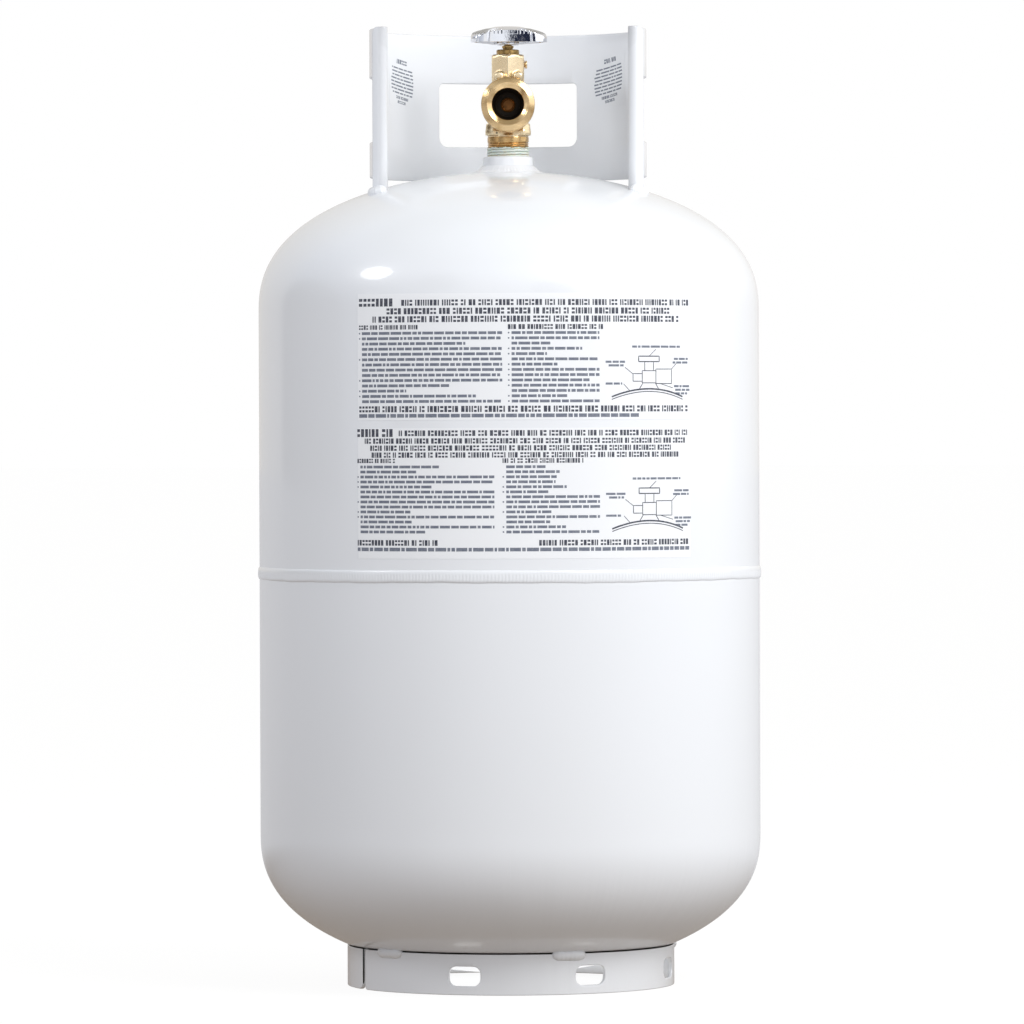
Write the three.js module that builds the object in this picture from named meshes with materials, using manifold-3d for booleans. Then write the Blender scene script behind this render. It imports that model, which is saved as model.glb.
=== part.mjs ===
// Portable steel gas cylinder with a guard collar, a foot ring and a brass cylinder valve.
// Millimetres, +Z up. The origin is the centre of the foot ring's underside, on the cylinder's axis.
// The valve outlet and the collar's opening face -Y. An azimuth is in degrees from the front (-Y),
// growing towards +X.
import * as THREE from "three";
import { mergeVertices } from "three/addons/utils/BufferGeometryUtils.js";
import Module from "manifold-3d";

const wasm = await Module();
wasm.setup();

// ---- Driving dimensions ----

// Pressure vessel: two equal drawn halves, welded at mid height
const VESSEL_R = 156;
const VESSEL_WALL = 2.2;
const VESSEL_BOTTOM = 7.6;
const VESSEL_TOP = 506.6;
const HEAD_DEPTH = 86.4;
const HEAD_POWER = 2.35;
const SEAM_GROOVE = 2;
const SEAM_LAP = 12;
const SEAM_BEAD = 8;
const SEAM_BEAD_RISE = 1;
const NECK_HOLE_R = 16.3;

// Guard collar
const COLLAR_R = 86.4;
const COLLAR_SHEET = 2.7;
const COLLAR_TOP = 595.4;
const COLLAR_WALL_FOOT = 503;
const COLLAR_END_AZIMUTH = 63;
const COLLAR_BEND_R = 4.5;
const LIP_REACH = 83.3;
const LIP_CORNER_R = 4;
const WINDOW_FOOT = 525;
const WINDOW_TOP = 565;
const REAR_WINDOW_WIDTH = 88;
const SIDE_WINDOW_WIDTH = 60;
const SIDE_WINDOW_AZIMUTH = 91;
const REAR_LEG_AZIMUTH = 152;
const REAR_LEG_WIDTH = 22;
const FRONT_LEG_AZIMUTH = 69;

// Foot ring
const FOOT_R = 102;
const FOOT_SHEET = 2.5;
const FOOT_HEIGHT = 24.5;
const FOOT_GAP_AZIMUTH = -63;
const FOOT_GAP = 3;
const SLOT_LENGTH = 20;
const SLOT_HEIGHT = 12;
const SLOT_CORNER_R = 4.6;
const SLOT_Z = 11.5;
const SLOT_COUNT = 7;
const SLOT_FIRST_AZIMUTH = -16.3;
const SLOT_PITCH = 45;
const FOOT_WELD_AZIMUTHS = [-47.3, 20.5, 100, 158, 226];

// Printed decals
const DECAL_THICKNESS = 0.25;
const DECAL_CLEARANCE = 0.05;
const UPPER_DECAL_FOOT = 352;
const LOWER_DECAL_FOOT = 268;
const COLLAR_DECAL_FOOT = 550;

// Valve boss in the crown, and heights above the boss's top face for everything in the valve
const BOSS_TOP = 516;
const BOSS_R = 16;
const BOSS_BORE_R = 13.5;
const BOSS_LENGTH = 18;
const SHANK_R = 13.2;
const SHANK_FOOT = -16;
const SHANK_TOP = 11;
const BAND_R = 12.6;
const BAND_TOP = 13.3;
const BASE_WIDTH = 28.4;
const BASE_DEPTH = 24;
const BASE_TOP = 21.3;
const CORE_R = 12;
const HEX_FLATS = 20.2;
const HEX_FOOT = 43;
const HEX_TOP = 63.7;
const LUG_R = 3;
const LUG_X = [-5.4, 5.6];
const LUG_HEIGHT = 49.9;
const LUG_END = 13.6;
const WAY_R = 5;
const SEAT_FOOT = 21;
const SEAT_TOP = 25;
const SEAT_HOLE_R = 3.2;
const CHAMBER_R = 7.2;
const CHAMBER_TOP = 37;
const SPINDLE_BORE_R = 6;
const GLAND_BORE_R = 6.5;
const GLAND_FOOT = 46;

// Outlet socket, along -Y; distances are from the valve's axis
const OUTLET_Z = 31.5;
const OUTLET_R = 16.65;
const OUTLET_FACE = 39;
const OUTLET_THREAD_END = 15;
const OUTLET_NECK_R = 13;
const SOCKET_MOUTH_R = 13.8;
const SOCKET_R = 10.5;
const SOCKET_CONE_END = 33.5;
const SOCKET_FLOOR = 20;
const CHECK_BORE_R = 7.2;
const CHECK_FLOOR = 11;
const OUTLET_WAY_R = 3.5;

// Relief valve, along +Y
const RELIEF_R = 8.5;
const RELIEF_END = 24;
const RELIEF_BORE_R = 6;
const RELIEF_SEAT = 11;
const RELIEF_PORT_R = 2.5;
const RELIEF_DUCT_Y = 9.6;
const RELIEF_DUCT_R = 1.5;

// Liquid level gauge: a bleeder screw on the +X side and its dip tube
const BLEEDER_Z = 57.5;
const BLEEDER_BOSS_END = 10.5;
const BLEEDER_HEAD_FOOT = 10.8;
const BLEEDER_HEAD_END = 12;
const GAUGE_DUCT_X = 8.6;
const GAUGE_DUCT_R = 0.7;
const DIP_TUBE_R = 1.6;
const DIP_TUBE_BORE_R = 1;
const DIP_TUBE_FOOT = -134;

// Stem, spindle and handwheel
const STEM_R = 3.1;
const STEM_SHOULDER = 69.2;
const SPINDLE_R = 5.9;
const TANG_THICKNESS = 2.4;
const SQUARE = 4.6;
const SQUARE_TOP = 77.6;
const WHEEL_CORNER_R = 9.8;
const WHEEL_CORNER_REACH = 16.3;
const WHEEL_TURN = 5;
const WHEEL_HUB_FOOT = 69.5;
const WHEEL_RIM_FOOT = 71;
const WHEEL_PLATE_FOOT = 74.5;
const WHEEL_CROWN = 81.2;
// The handwheel's domed top: distance from the axis and drop below the crown
const WHEEL_DOME = [
  [26.1, 7.6],
  [25.4, 6.2],
  [24.2, 5.1],
  [22.4, 4],
  [20, 3.1],
  [17.6, 2.4],
  [13, 1.2],
];

// Overfill stop under the shank; its float hangs down on an arm
const STOP_R = 12.2;
const STOP_TOP = -19;
const STOP_FOOT = -40;
const STOP_NECK_R = 4.9;
const STOP_BORE_R = 5.3;
const FLOAT_PIVOT_Y = 5;
const FLOAT_PIVOT_Z = -44;
const FLOAT_ARM_X = -1.5;
const FLOAT_ARM_WIDTH = 3;
const FLOAT_R = 8;
const FLOAT_LENGTH = 46;
const FLOAT_TOP = -92;
const FLOAT_X = -3;
const FLOAT_Y = 3;
const FLOAT_SOCKET = 10;

// Facets
const VESSEL_SEGMENTS = 40;
const VALVE_SEGMENTS = 24;
const SMALL_SEGMENTS = 16;
const HEAD_STEPS = 7;
const FINE_SEGMENTS = 10;

// Small clearances between neighbours
const GAP = 0.3;
const WELD_GAP = 0.05;
// Tools that cut right through run past the face by this much
const RUN_OUT = 1;

const SEAM_Z = (VESSEL_BOTTOM + VESSEL_TOP) / 2;
const UPPER_TANGENT = VESSEL_TOP - HEAD_DEPTH;
const LOWER_TANGENT = VESSEL_BOTTOM + HEAD_DEPTH;

// ---- Helpers ----

const radians = THREE.MathUtils.degToRad;

// A closed geometry as a manifold-3d solid, ready to be joined or cut.
function toSolid(geometry) {
  const bare = geometry.clone();
  bare.deleteAttribute("normal");
  bare.deleteAttribute("uv");
  const merged = mergeVertices(bare, 1e-4);
  return new wasm.Manifold(
    new wasm.Mesh({
      numProp: 3,
      vertProperties: merged.attributes.position.array,
      triVerts: new Uint32Array(merged.index.array),
    }),
  );
}

function toGeometry(solid) {
  const mesh = solid.getMesh();
  const geometry = new THREE.BufferGeometry();
  geometry.setAttribute("position", new THREE.BufferAttribute(mesh.vertProperties, mesh.numProp));
  geometry.setIndex(new THREE.BufferAttribute(mesh.triVerts, 1));
  geometry.computeVertexNormals();
  return geometry;
}

const join = (...parts) => parts.map(toSolid).reduce((whole, part) => whole.add(part));
const carve = (solid, ...tools) => tools.map(toSolid).reduce((left, tool) => left.subtract(tool), solid);

// A solid of revolution about Z from its half section, a list of [radius, height].
function turned(section, segments = VALVE_SEGMENTS) {
  const points = section.map(([radius, height]) => new THREE.Vector2(Math.max(radius, 0), height));
  if (THREE.ShapeUtils.isClockWise(points)) points.reverse();
  const onAxis = points[0].x < 1e-6 && points.at(-1).x < 1e-6;
  if (!onAxis) points.push(points[0].clone());
  return new THREE.LatheGeometry(points, segments).rotateX(Math.PI / 2);
}

// A plain cylinder about Z between two heights.
function rod(radius, from, to, segments = VALVE_SEGMENTS) {
  return turned([[0, from], [radius, from], [radius, to], [0, to]], segments);
}

// The corner radius of a faceted cylinder whose flats clear a round one of this radius.
const clearOf = (radius) => (radius + WELD_GAP) / Math.cos(Math.PI / VESSEL_SEGMENTS);

// A plain ring about Z.
function ring(inner, outer, from, to, segments = VALVE_SEGMENTS) {
  return turned([[inner, from], [outer, from], [outer, to], [inner, to]], segments);
}

function box(width, depth, from, to) {
  return new THREE.BoxGeometry(width, depth, to - from).translate(0, 0, (from + to) / 2);
}

// A hexagonal prism about Z with one corner facing -Y.
function hexPrism(flats, from, to) {
  return rod(flats / Math.sqrt(3), from, to, 6);
}

// A rectangle with rounded corners, standing between two heights and centred across.
function roundedRectangle(width, bottom, top, lowRadius, highRadius) {
  const half = width / 2;
  const shape = new THREE.Shape();
  shape.moveTo(-half + lowRadius, bottom);
  shape.lineTo(half - lowRadius, bottom);
  shape.absarc(half - lowRadius, bottom + lowRadius, lowRadius, -Math.PI / 2, 0);
  shape.lineTo(half, top - highRadius);
  shape.absarc(half - highRadius, top - highRadius, highRadius, 0, Math.PI / 2);
  shape.lineTo(-half + highRadius, top);
  shape.absarc(-half + highRadius, top - highRadius, highRadius, Math.PI / 2, Math.PI);
  shape.lineTo(-half, bottom + lowRadius);
  shape.absarc(-half + lowRadius, bottom + lowRadius, lowRadius, Math.PI, Math.PI * 1.5);
  return shape;
}

// A cutting tool: an outline in the (across, up) plane, pushed outwards from one radius to another
// at an azimuth.
function radialPunch(shape, azimuth, inner, outer) {
  const settings = { depth: outer - inner, bevelEnabled: false, curveSegments: 4 };
  return new THREE.ExtrudeGeometry(shape, settings)
    .translate(0, 0, inner)
    .rotateX(Math.PI / 2)
    .rotateZ(radians(azimuth));
}

// A level arc about Z from one azimuth to another.
class AzimuthArc extends THREE.Curve {
  constructor(radius, from, to) {
    super();
    this.radius = radius;
    this.from = radians(from);
    this.to = radians(to);
  }

  getPoint(t, target = new THREE.Vector3()) {
    const azimuth = THREE.MathUtils.lerp(this.from, this.to, t);
    return target.set(this.radius * Math.sin(azimuth), -this.radius * Math.cos(azimuth), 0);
  }
}

class Helix extends THREE.Curve {
  constructor(radius, height, turns) {
    super();
    this.radius = radius;
    this.height = height;
    this.turns = turns;
  }

  getPoint(t, target = new THREE.Vector3()) {
    const angle = 2 * Math.PI * this.turns * t;
    return target.set(this.radius * Math.cos(angle), this.radius * Math.sin(angle), this.height * t);
  }
}

// A bar bent about Z: section points are [outwards, up] from the arc.
function arcBar(section, radius, from, to, steps) {
  const shape = new THREE.Shape(section.map(([out, up]) => new THREE.Vector2(-up, -out)));
  const extrudePath = new AzimuthArc(radius, from, to);
  return new THREE.ExtrudeGeometry(shape, { steps, extrudePath, bevelEnabled: false });
}

// A round section for beads and wires, as [outwards, up] points.
function roundSection(radius, sides) {
  const points = [];
  for (let i = 0; i < sides; i++) {
    const angle = (2 * Math.PI * i) / sides;
    points.push([radius * Math.cos(angle), radius * Math.sin(angle)]);
  }
  return points;
}

// A coil spring standing on Z, from one height to another over its whole wire.
function coilSpring(radius, wire, from, to, turns) {
  const section = roundSection(wire, 5).map(([x, y]) => new THREE.Vector2(x, y));
  const extrudePath = new Helix(radius, to - from - 2 * wire, turns);
  const settings = { steps: 9 * turns, extrudePath, bevelEnabled: false };
  return new THREE.ExtrudeGeometry(new THREE.Shape(section), settings).translate(0, 0, from + wire);
}

// Quarter section of a drawn head, from its tangent line up to the crown or to a hole's edge.
function headCurve(radius, depth, holeRadius = 0) {
  const points = [];
  const last = Math.acos(holeRadius / radius);
  for (let i = 0; i <= HEAD_STEPS; i++) {
    const angle = (last * i) / HEAD_STEPS;
    points.push([radius * Math.cos(angle), depth * Math.sin(angle) ** (2 / HEAD_POWER)]);
  }
  return points;
}

// The vessel's outer surface as a full solid, grown by a clearance, for fitting welds to it.
function vesselBlank(clearance) {
  const [radius, depth] = [VESSEL_R + clearance, HEAD_DEPTH + clearance];
  const upper = headCurve(radius, depth, NECK_HOLE_R).map(([r, height]) => [r, UPPER_TANGENT + height]);
  const lower = headCurve(radius, depth).map(([r, height]) => [r, LOWER_TANGENT - height]).reverse();
  return turned([...lower, ...upper, [0, VESSEL_TOP + clearance]], VESSEL_SEGMENTS);
}

// ---- Pressure vessel ----

function upperShell() {
  const edge = SEAM_Z + SEAM_GROOVE / 2;
  const inner = VESSEL_R - VESSEL_WALL;
  const outside = headCurve(VESSEL_R, HEAD_DEPTH, NECK_HOLE_R);
  const inside = headCurve(inner, HEAD_DEPTH - VESSEL_WALL, NECK_HOLE_R).reverse();
  const lift = ([radius, height]) => [radius, UPPER_TANGENT + height];
  const section = [[VESSEL_R, edge], ...outside.map(lift), ...inside.map(lift), [inner, edge]];
  return turned(section, VESSEL_SEGMENTS);
}

// The lower half's rim is joggled inwards, so that the upper half laps over it at the seam.
function lowerShell() {
  const inner = VESSEL_R - VESSEL_WALL;
  const lapOuter = inner - GAP;
  const lapInner = lapOuter - VESSEL_WALL;
  const drop = ([radius, height]) => [radius, LOWER_TANGENT - height];
  const outside = headCurve(VESSEL_R, HEAD_DEPTH).map(drop).reverse();
  const inside = headCurve(inner, HEAD_DEPTH - VESSEL_WALL).map(drop);
  const rim = [
    [VESSEL_R, SEAM_Z - SEAM_GROOVE / 2],
    [lapOuter, SEAM_Z],
    [lapOuter, SEAM_Z + SEAM_LAP],
    [lapInner, SEAM_Z + SEAM_LAP],
    [lapInner, SEAM_Z - SEAM_GROOVE],
    [inner, SEAM_Z - SEAM_LAP / 2],
  ];
  return turned([...outside, ...rim, ...inside], VESSEL_SEGMENTS);
}

function girthWeld() {
  const root = VESSEL_R + WELD_GAP;
  const crown = VESSEL_R + SEAM_BEAD_RISE;
  const half = SEAM_BEAD / 2;
  const section = [
    [root, -half],
    [crown - 0.3, -half * 0.65],
    [crown, 0],
    [crown - 0.3, half * 0.65],
    [root, half],
  ];
  return turned(section, VESSEL_SEGMENTS);
}

function valveBoss() {
  const section = [
    [BOSS_BORE_R, -BOSS_LENGTH],
    [BOSS_R, -BOSS_LENGTH],
    [BOSS_R, -0.6],
    [BOSS_R - 0.6, 0],
    [BOSS_BORE_R + 0.5, 0],
    [BOSS_BORE_R, -0.5],
  ];
  return turned(section);
}

// The fillet that joins the boss to the crown. Its underside follows the crown, which is nearly flat.
function bossWeld() {
  const inner = BOSS_R + WELD_GAP;
  const crown = VESSEL_TOP - BOSS_TOP + WELD_GAP;
  const toe = 24.5;
  const throat = 3.4;
  return turned([
    [inner, crown],
    [toe, crown - 0.9],
    [toe - 0.5, crown - 0.3],
    [toe - 5, crown + 0.9],
    [inner + 1.2, crown + 2.2],
    [inner, crown + throat],
  ]);
}

// ---- Guard collar ----

// The plan of half the collar's sheet, from the middle of the back round to the lip's edge: points
// on its mid-line, each with the direction to the sheet's outer side. The sheet turns clockwise
// round the wall and then back on itself, to end as a lip that faces the front.
function collarMidLine() {
  const wallR = COLLAR_R - COLLAR_SHEET / 2;
  const wallSteps = 22;
  const bendSteps = 7;
  const line = [];
  const outAt = (heading) => new THREE.Vector2(-Math.sin(heading), Math.cos(heading));
  for (let i = 0; i <= wallSteps; i++) {
    const azimuth = THREE.MathUtils.lerp(180, COLLAR_END_AZIMUTH, i / wallSteps);
    const out = outAt(radians(azimuth + 180));
    line.push({ at: out.clone().multiplyScalar(wallR), out });
  }
  const bendStart = radians(COLLAR_END_AZIMUTH + 180);
  const bendCentre = outAt(bendStart).multiplyScalar(wallR + COLLAR_BEND_R);
  for (let i = 1; i <= bendSteps; i++) {
    const out = outAt(THREE.MathUtils.lerp(bendStart, 2 * Math.PI, i / bendSteps));
    line.push({ at: bendCentre.clone().addScaledVector(out, -COLLAR_BEND_R), out });
  }
  const lipY = bendCentre.y - COLLAR_BEND_R;
  line.push({ at: new THREE.Vector2(LIP_REACH, lipY), out: outAt(0) });
  return line;
}

function collarPlan() {
  const right = collarMidLine();
  const mirrored = ({ at, out }) => ({
    at: new THREE.Vector2(-at.x, at.y),
    out: new THREE.Vector2(-out.x, out.y),
  });
  const whole = [...right.slice(1).map(mirrored).reverse(), ...right];
  const offset = (side) => whole.map(({ at, out }) => at.clone().addScaledVector(out, side));
  const half = COLLAR_SHEET / 2;
  return new THREE.Shape([...offset(half), ...offset(-half).reverse()]);
}

// The waste outside a lip's rounded top corner, as a bar along Y; side is 1 at the right, -1 at the
// left.
function lipCornerCutter(side) {
  const inner = LIP_REACH - LIP_CORNER_R;
  const shape = new THREE.Shape();
  shape.moveTo(inner, COLLAR_TOP);
  shape.absarc(inner, COLLAR_TOP - LIP_CORNER_R, LIP_CORNER_R, Math.PI / 2, 0, true);
  shape.lineTo(LIP_REACH + RUN_OUT, COLLAR_TOP - LIP_CORNER_R);
  shape.lineTo(LIP_REACH + RUN_OUT, COLLAR_TOP + RUN_OUT);
  shape.lineTo(inner, COLLAR_TOP + RUN_OUT);
  const length = 4 * COLLAR_SHEET;
  const lipY = collarMidLine().at(-1).at.y;
  const settings = { depth: length, bevelEnabled: false, curveSegments: 5 };
  const cutter = new THREE.ExtrudeGeometry(shape, settings).translate(0, 0, -length / 2);
  return cutter.rotateX(Math.PI / 2).rotateZ(side > 0 ? 0 : Math.PI).translate(0, lipY, 0);
}

// The space under the wall, between two azimuths, where the sheet stops short of the crown.
function underWallCutter(from, to) {
  const reach = 6;
  const depth = 25;
  const section = [[-reach, -depth], [reach, -depth], [reach, 0], [-reach, 0]];
  return arcBar(section, COLLAR_R, from, to, 12).translate(0, 0, COLLAR_WALL_FOOT);
}

function collar() {
  const blankFoot = 486;
  const lowCorner = 6;
  const highCorner = 3;
  const settings = { depth: COLLAR_TOP - blankFoot, bevelEnabled: false };
  const blank = new THREE.ExtrudeGeometry(collarPlan(), settings).translate(0, 0, blankFoot);
  const window = (width) => roundedRectangle(width, WINDOW_FOOT, WINDOW_TOP, lowCorner, highCorner);
  const punch = (width, azimuth) => radialPunch(window(width), azimuth, COLLAR_R - 25, COLLAR_R + 5);
  const halfLeg = THREE.MathUtils.radToDeg(REAR_LEG_WIDTH / 2 / COLLAR_R);
  const rearLeg = [REAR_LEG_AZIMUTH - halfLeg, REAR_LEG_AZIMUTH + halfLeg];
  return toGeometry(
    carve(
      toSolid(blank),
      punch(REAR_WINDOW_WIDTH, 180),
      punch(SIDE_WINDOW_WIDTH, SIDE_WINDOW_AZIMUTH),
      punch(SIDE_WINDOW_WIDTH, -SIDE_WINDOW_AZIMUTH),
      underWallCutter(FRONT_LEG_AZIMUTH, rearLeg[0]),
      underWallCutter(rearLeg[1], 360 - rearLeg[1]),
      underWallCutter(360 - rearLeg[0], 360 - FRONT_LEG_AZIMUTH),
      lipCornerCutter(1),
      lipCornerCutter(-1),
      vesselBlank(GAP),
    ),
  );
}

// A bead along the outside of a rear leg's foot, shaped to the crown and the leg.
function collarRearWeld(azimuth) {
  const halfLeg = THREE.MathUtils.radToDeg(REAR_LEG_WIDTH / 2 / COLLAR_R);
  const beadR = 3.2;
  const bead = arcBar(roundSection(beadR, 10), COLLAR_R, azimuth - halfLeg, azimuth + halfLeg, 6);
  const crownThere = 494.2;
  const inside = rod(clearOf(COLLAR_R), crownThere - 10, crownThere + 10, VESSEL_SEGMENTS);
  const solid = toSolid(bead.translate(0, 0, crownThere));
  return toGeometry(carve(solid, inside, vesselBlank(WELD_GAP)));
}

// A bead along the front of a lip's foot, following the slope of the crown.
function collarFrontWeld(side) {
  const lipY = collarMidLine().at(-1).at.y - COLLAR_SHEET / 2;
  const lipInner = 75.5;
  const lipLength = LIP_REACH - lipInner;
  const drop = 3.2;
  const crownThere = 493.4;
  const beadR = 3.2;
  const section = roundSection(beadR, 10).map(([x, y]) => new THREE.Vector2(x, y));
  const start = new THREE.Vector3(side * lipInner, lipY, crownThere);
  const end = new THREE.Vector3(side * (lipInner + lipLength), lipY, crownThere - drop);
  const extrudePath = new THREE.LineCurve3(start, end);
  const settings = { steps: 1, extrudePath, bevelEnabled: false };
  const bead = new THREE.ExtrudeGeometry(new THREE.Shape(section), settings);
  const depth = 20;
  const behind = box(4 * LIP_REACH, depth, crownThere - depth, crownThere + depth);
  behind.translate(0, lipY - GAP + depth / 2, 0);
  return toGeometry(carve(toSolid(bead), behind, vesselBlank(WELD_GAP)));
}

// ---- Foot ring ----

function footRing() {
  const halfGap = THREE.MathUtils.radToDeg(FOOT_GAP / 2 / FOOT_R);
  const section = [[-FOOT_SHEET, 0], [0, 0], [0, FOOT_HEIGHT], [-FOOT_SHEET, FOOT_HEIGHT]];
  const from = FOOT_GAP_AZIMUTH + halfGap;
  const to = FOOT_GAP_AZIMUTH + 360 - halfGap;
  const strip = arcBar(section, FOOT_R, from, to, VESSEL_SEGMENTS);
  const [slotFoot, slotTop] = [SLOT_Z - SLOT_HEIGHT / 2, SLOT_Z + SLOT_HEIGHT / 2];
  const slot = roundedRectangle(SLOT_LENGTH, slotFoot, slotTop, SLOT_CORNER_R, SLOT_CORNER_R);
  const punches = [];
  for (let i = 0; i < SLOT_COUNT; i++) {
    punches.push(radialPunch(slot, SLOT_FIRST_AZIMUTH + i * SLOT_PITCH, FOOT_R - 8, FOOT_R + 4));
  }
  return toGeometry(carve(toSolid(strip), ...punches));
}

// A short bead that bridges the foot ring's top edge and the lower head.
function footRingWeld(azimuth) {
  const halfBead = 6.5;
  const beadR = 3.4;
  const bead = arcBar(roundSection(beadR, 10), FOOT_R, azimuth - halfBead, azimuth + halfBead, 6);
  const inside = rod(clearOf(FOOT_R), 0, FOOT_HEIGHT + 10, VESSEL_SEGMENTS);
  const solid = toSolid(bead.translate(0, 0, FOOT_HEIGHT + 0.5));
  return toGeometry(carve(solid, inside, vesselBlank(WELD_GAP)));
}

// ---- Printed decals, plain ----

// A thin film on the vessel's wall. Its ends fall on the vessel's own facet edges.
function frontDecal(height) {
  const section = [[0, 0], [DECAL_THICKNESS, 0], [DECAL_THICKNESS, height], [0, height]];
  const facet = 360 / VESSEL_SEGMENTS;
  const [first, last] = [-4, 5];
  return arcBar(section, VESSEL_R + DECAL_CLEARANCE, first * facet, last * facet, last - first);
}

// A thin film on the inner face of the collar's wall.
function collarDecal(height, from, to) {
  const inner = COLLAR_R - COLLAR_SHEET - 4 * DECAL_CLEARANCE;
  const section = [[-DECAL_THICKNESS, 0], [0, 0], [0, height], [-DECAL_THICKNESS, height]];
  return arcBar(section, inner, from, to, 6);
}

// ---- Valve body; heights from here on are above the boss's top face ----

// Turns a piece that stands on Z to point along -Y at the outlet's height.
const alongOutlet = (geometry) => geometry.rotateX(Math.PI / 2).translate(0, 0, OUTLET_Z);
// The same along +Y, for the relief valve.
const alongRelief = (geometry) => geometry.rotateX(-Math.PI / 2).translate(0, 0, OUTLET_Z);
// The same along +X, at the bleeder screw's height.
const alongBleeder = (geometry) => geometry.rotateY(Math.PI / 2).translate(0, 0, BLEEDER_Z);

function valveForging() {
  const shank = turned([
    [0, SHANK_FOOT],
    [SHANK_R - 1, SHANK_FOOT],
    [SHANK_R, SHANK_FOOT + 1],
    [SHANK_R, SHANK_TOP],
    [BAND_R, SHANK_TOP],
    [BAND_R, BAND_TOP],
    [0, BAND_TOP],
  ]);
  const wrenchCorners = 15.6;
  const wrenchBase = toSolid(box(BASE_WIDTH, BASE_DEPTH, BAND_TOP, BASE_TOP)).intersect(
    toSolid(rod(wrenchCorners, BAND_TOP - RUN_OUT, BASE_TOP + RUN_OUT)),
  );
  const outlet = turned([
    [0, 0],
    [OUTLET_NECK_R, 0],
    [OUTLET_NECK_R, OUTLET_THREAD_END - 1],
    [OUTLET_R, OUTLET_THREAD_END],
    [OUTLET_R, OUTLET_FACE - 0.8],
    [OUTLET_R - 0.6, OUTLET_FACE],
    [0, OUTLET_FACE],
  ]);
  const relief = turned([
    [0, 0],
    [RELIEF_R, 0],
    [RELIEF_R, RELIEF_END - 0.6],
    [RELIEF_R - 0.6, RELIEF_END],
    [0, RELIEF_END],
  ]);
  const hexClear = HEX_FLATS / Math.sqrt(3) + RUN_OUT;
  const hexTop = turned([
    [0, HEX_FOOT],
    [hexClear, HEX_FOOT],
    [hexClear, HEX_TOP - 1.5],
    [HEX_FLATS / 2, HEX_TOP],
    [0, HEX_TOP],
  ]);
  const hex = toSolid(hexPrism(HEX_FLATS, HEX_FOOT, HEX_TOP)).intersect(toSolid(hexTop));
  const lugFoot = 7;
  const lugEdge = [[LUG_R, LUG_END - 1], [LUG_R - 1, LUG_END]];
  const lugBlank = [[0, lugFoot], [LUG_R, lugFoot], ...lugEdge, [0, LUG_END]];
  const lug = (x) => turned(lugBlank, SMALL_SEGMENTS).rotateX(Math.PI / 2).translate(x, 0, LUG_HEIGHT);
  const bleederBoss = alongBleeder(rod(3.1, 7, BLEEDER_BOSS_END, SMALL_SEGMENTS));
  return join(shank, rod(CORE_R, BAND_TOP, HEX_FOOT + 2), alongOutlet(outlet), alongRelief(relief))
    .add(wrenchBase)
    .add(hex)
    .add(join(bleederBoss, ...LUG_X.map(lug)));
}

function valveBody() {
  const gasWay = rod(WAY_R, SHANK_FOOT - RUN_OUT, SEAT_FOOT);
  const seatHole = rod(SEAT_HOLE_R, SEAT_FOOT - RUN_OUT, SEAT_TOP + RUN_OUT);
  const seatLipR = 4.4;
  const seatLip = 0.8;
  const chamber = turned([
    [seatLipR, SEAT_TOP],
    [0, SEAT_TOP],
    [0, CHAMBER_TOP],
    [CHAMBER_R, CHAMBER_TOP],
    [CHAMBER_R, SEAT_TOP - seatLip],
    [seatLipR, SEAT_TOP - seatLip],
  ]);
  const spindleBore = rod(SPINDLE_BORE_R, CHAMBER_TOP - RUN_OUT, GLAND_FOOT + RUN_OUT);
  const glandBore = rod(GLAND_BORE_R, GLAND_FOOT, HEX_TOP + RUN_OUT);
  const insideChamber = 2;
  const socket = turned([
    [0, insideChamber],
    [OUTLET_WAY_R, insideChamber],
    [OUTLET_WAY_R, CHECK_FLOOR],
    [CHECK_BORE_R, CHECK_FLOOR],
    [CHECK_BORE_R, SOCKET_FLOOR],
    [SOCKET_R, SOCKET_FLOOR],
    [SOCKET_R, SOCKET_CONE_END],
    [SOCKET_MOUTH_R, OUTLET_FACE],
    [SOCKET_MOUTH_R, OUTLET_FACE + RUN_OUT],
    [0, OUTLET_FACE + RUN_OUT],
  ]);
  const reliefBore = turned([
    [0, RELIEF_DUCT_Y],
    [RELIEF_PORT_R, RELIEF_DUCT_Y],
    [RELIEF_PORT_R, RELIEF_SEAT],
    [RELIEF_BORE_R, RELIEF_SEAT],
    [RELIEF_BORE_R, RELIEF_END + RUN_OUT],
    [0, RELIEF_END + RUN_OUT],
  ]);
  const reliefDuct = rod(RELIEF_DUCT_R, SHANK_FOOT - RUN_OUT, OUTLET_Z, FINE_SEGMENTS);
  const gaugeDuct = rod(GAUGE_DUCT_R, SHANK_FOOT - RUN_OUT, BLEEDER_Z, FINE_SEGMENTS);
  const dipSocket = rod(DIP_TUBE_R + 0.1, SHANK_FOOT - RUN_OUT, SHANK_FOOT + 4, FINE_SEGMENTS);
  const bleederBore = rod(1.8, GAUGE_DUCT_X, BLEEDER_HEAD_END + RUN_OUT, FINE_SEGMENTS);
  const weepHole = rod(0.5, 8, 16, FINE_SEGMENTS).rotateX(Math.PI / 2).translate(-7, 0, 14.4);
  return toGeometry(
    carve(
      valveForging(),
      gasWay,
      seatHole,
      chamber,
      spindleBore,
      glandBore,
      alongOutlet(socket),
      alongRelief(reliefBore),
      reliefDuct.translate(0, RELIEF_DUCT_Y, 0),
      gaugeDuct.translate(GAUGE_DUCT_X, 0, 0),
      dipSocket.translate(GAUGE_DUCT_X, 0, 0),
      alongBleeder(bleederBore),
      weepHole,
    ),
  );
}

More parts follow.
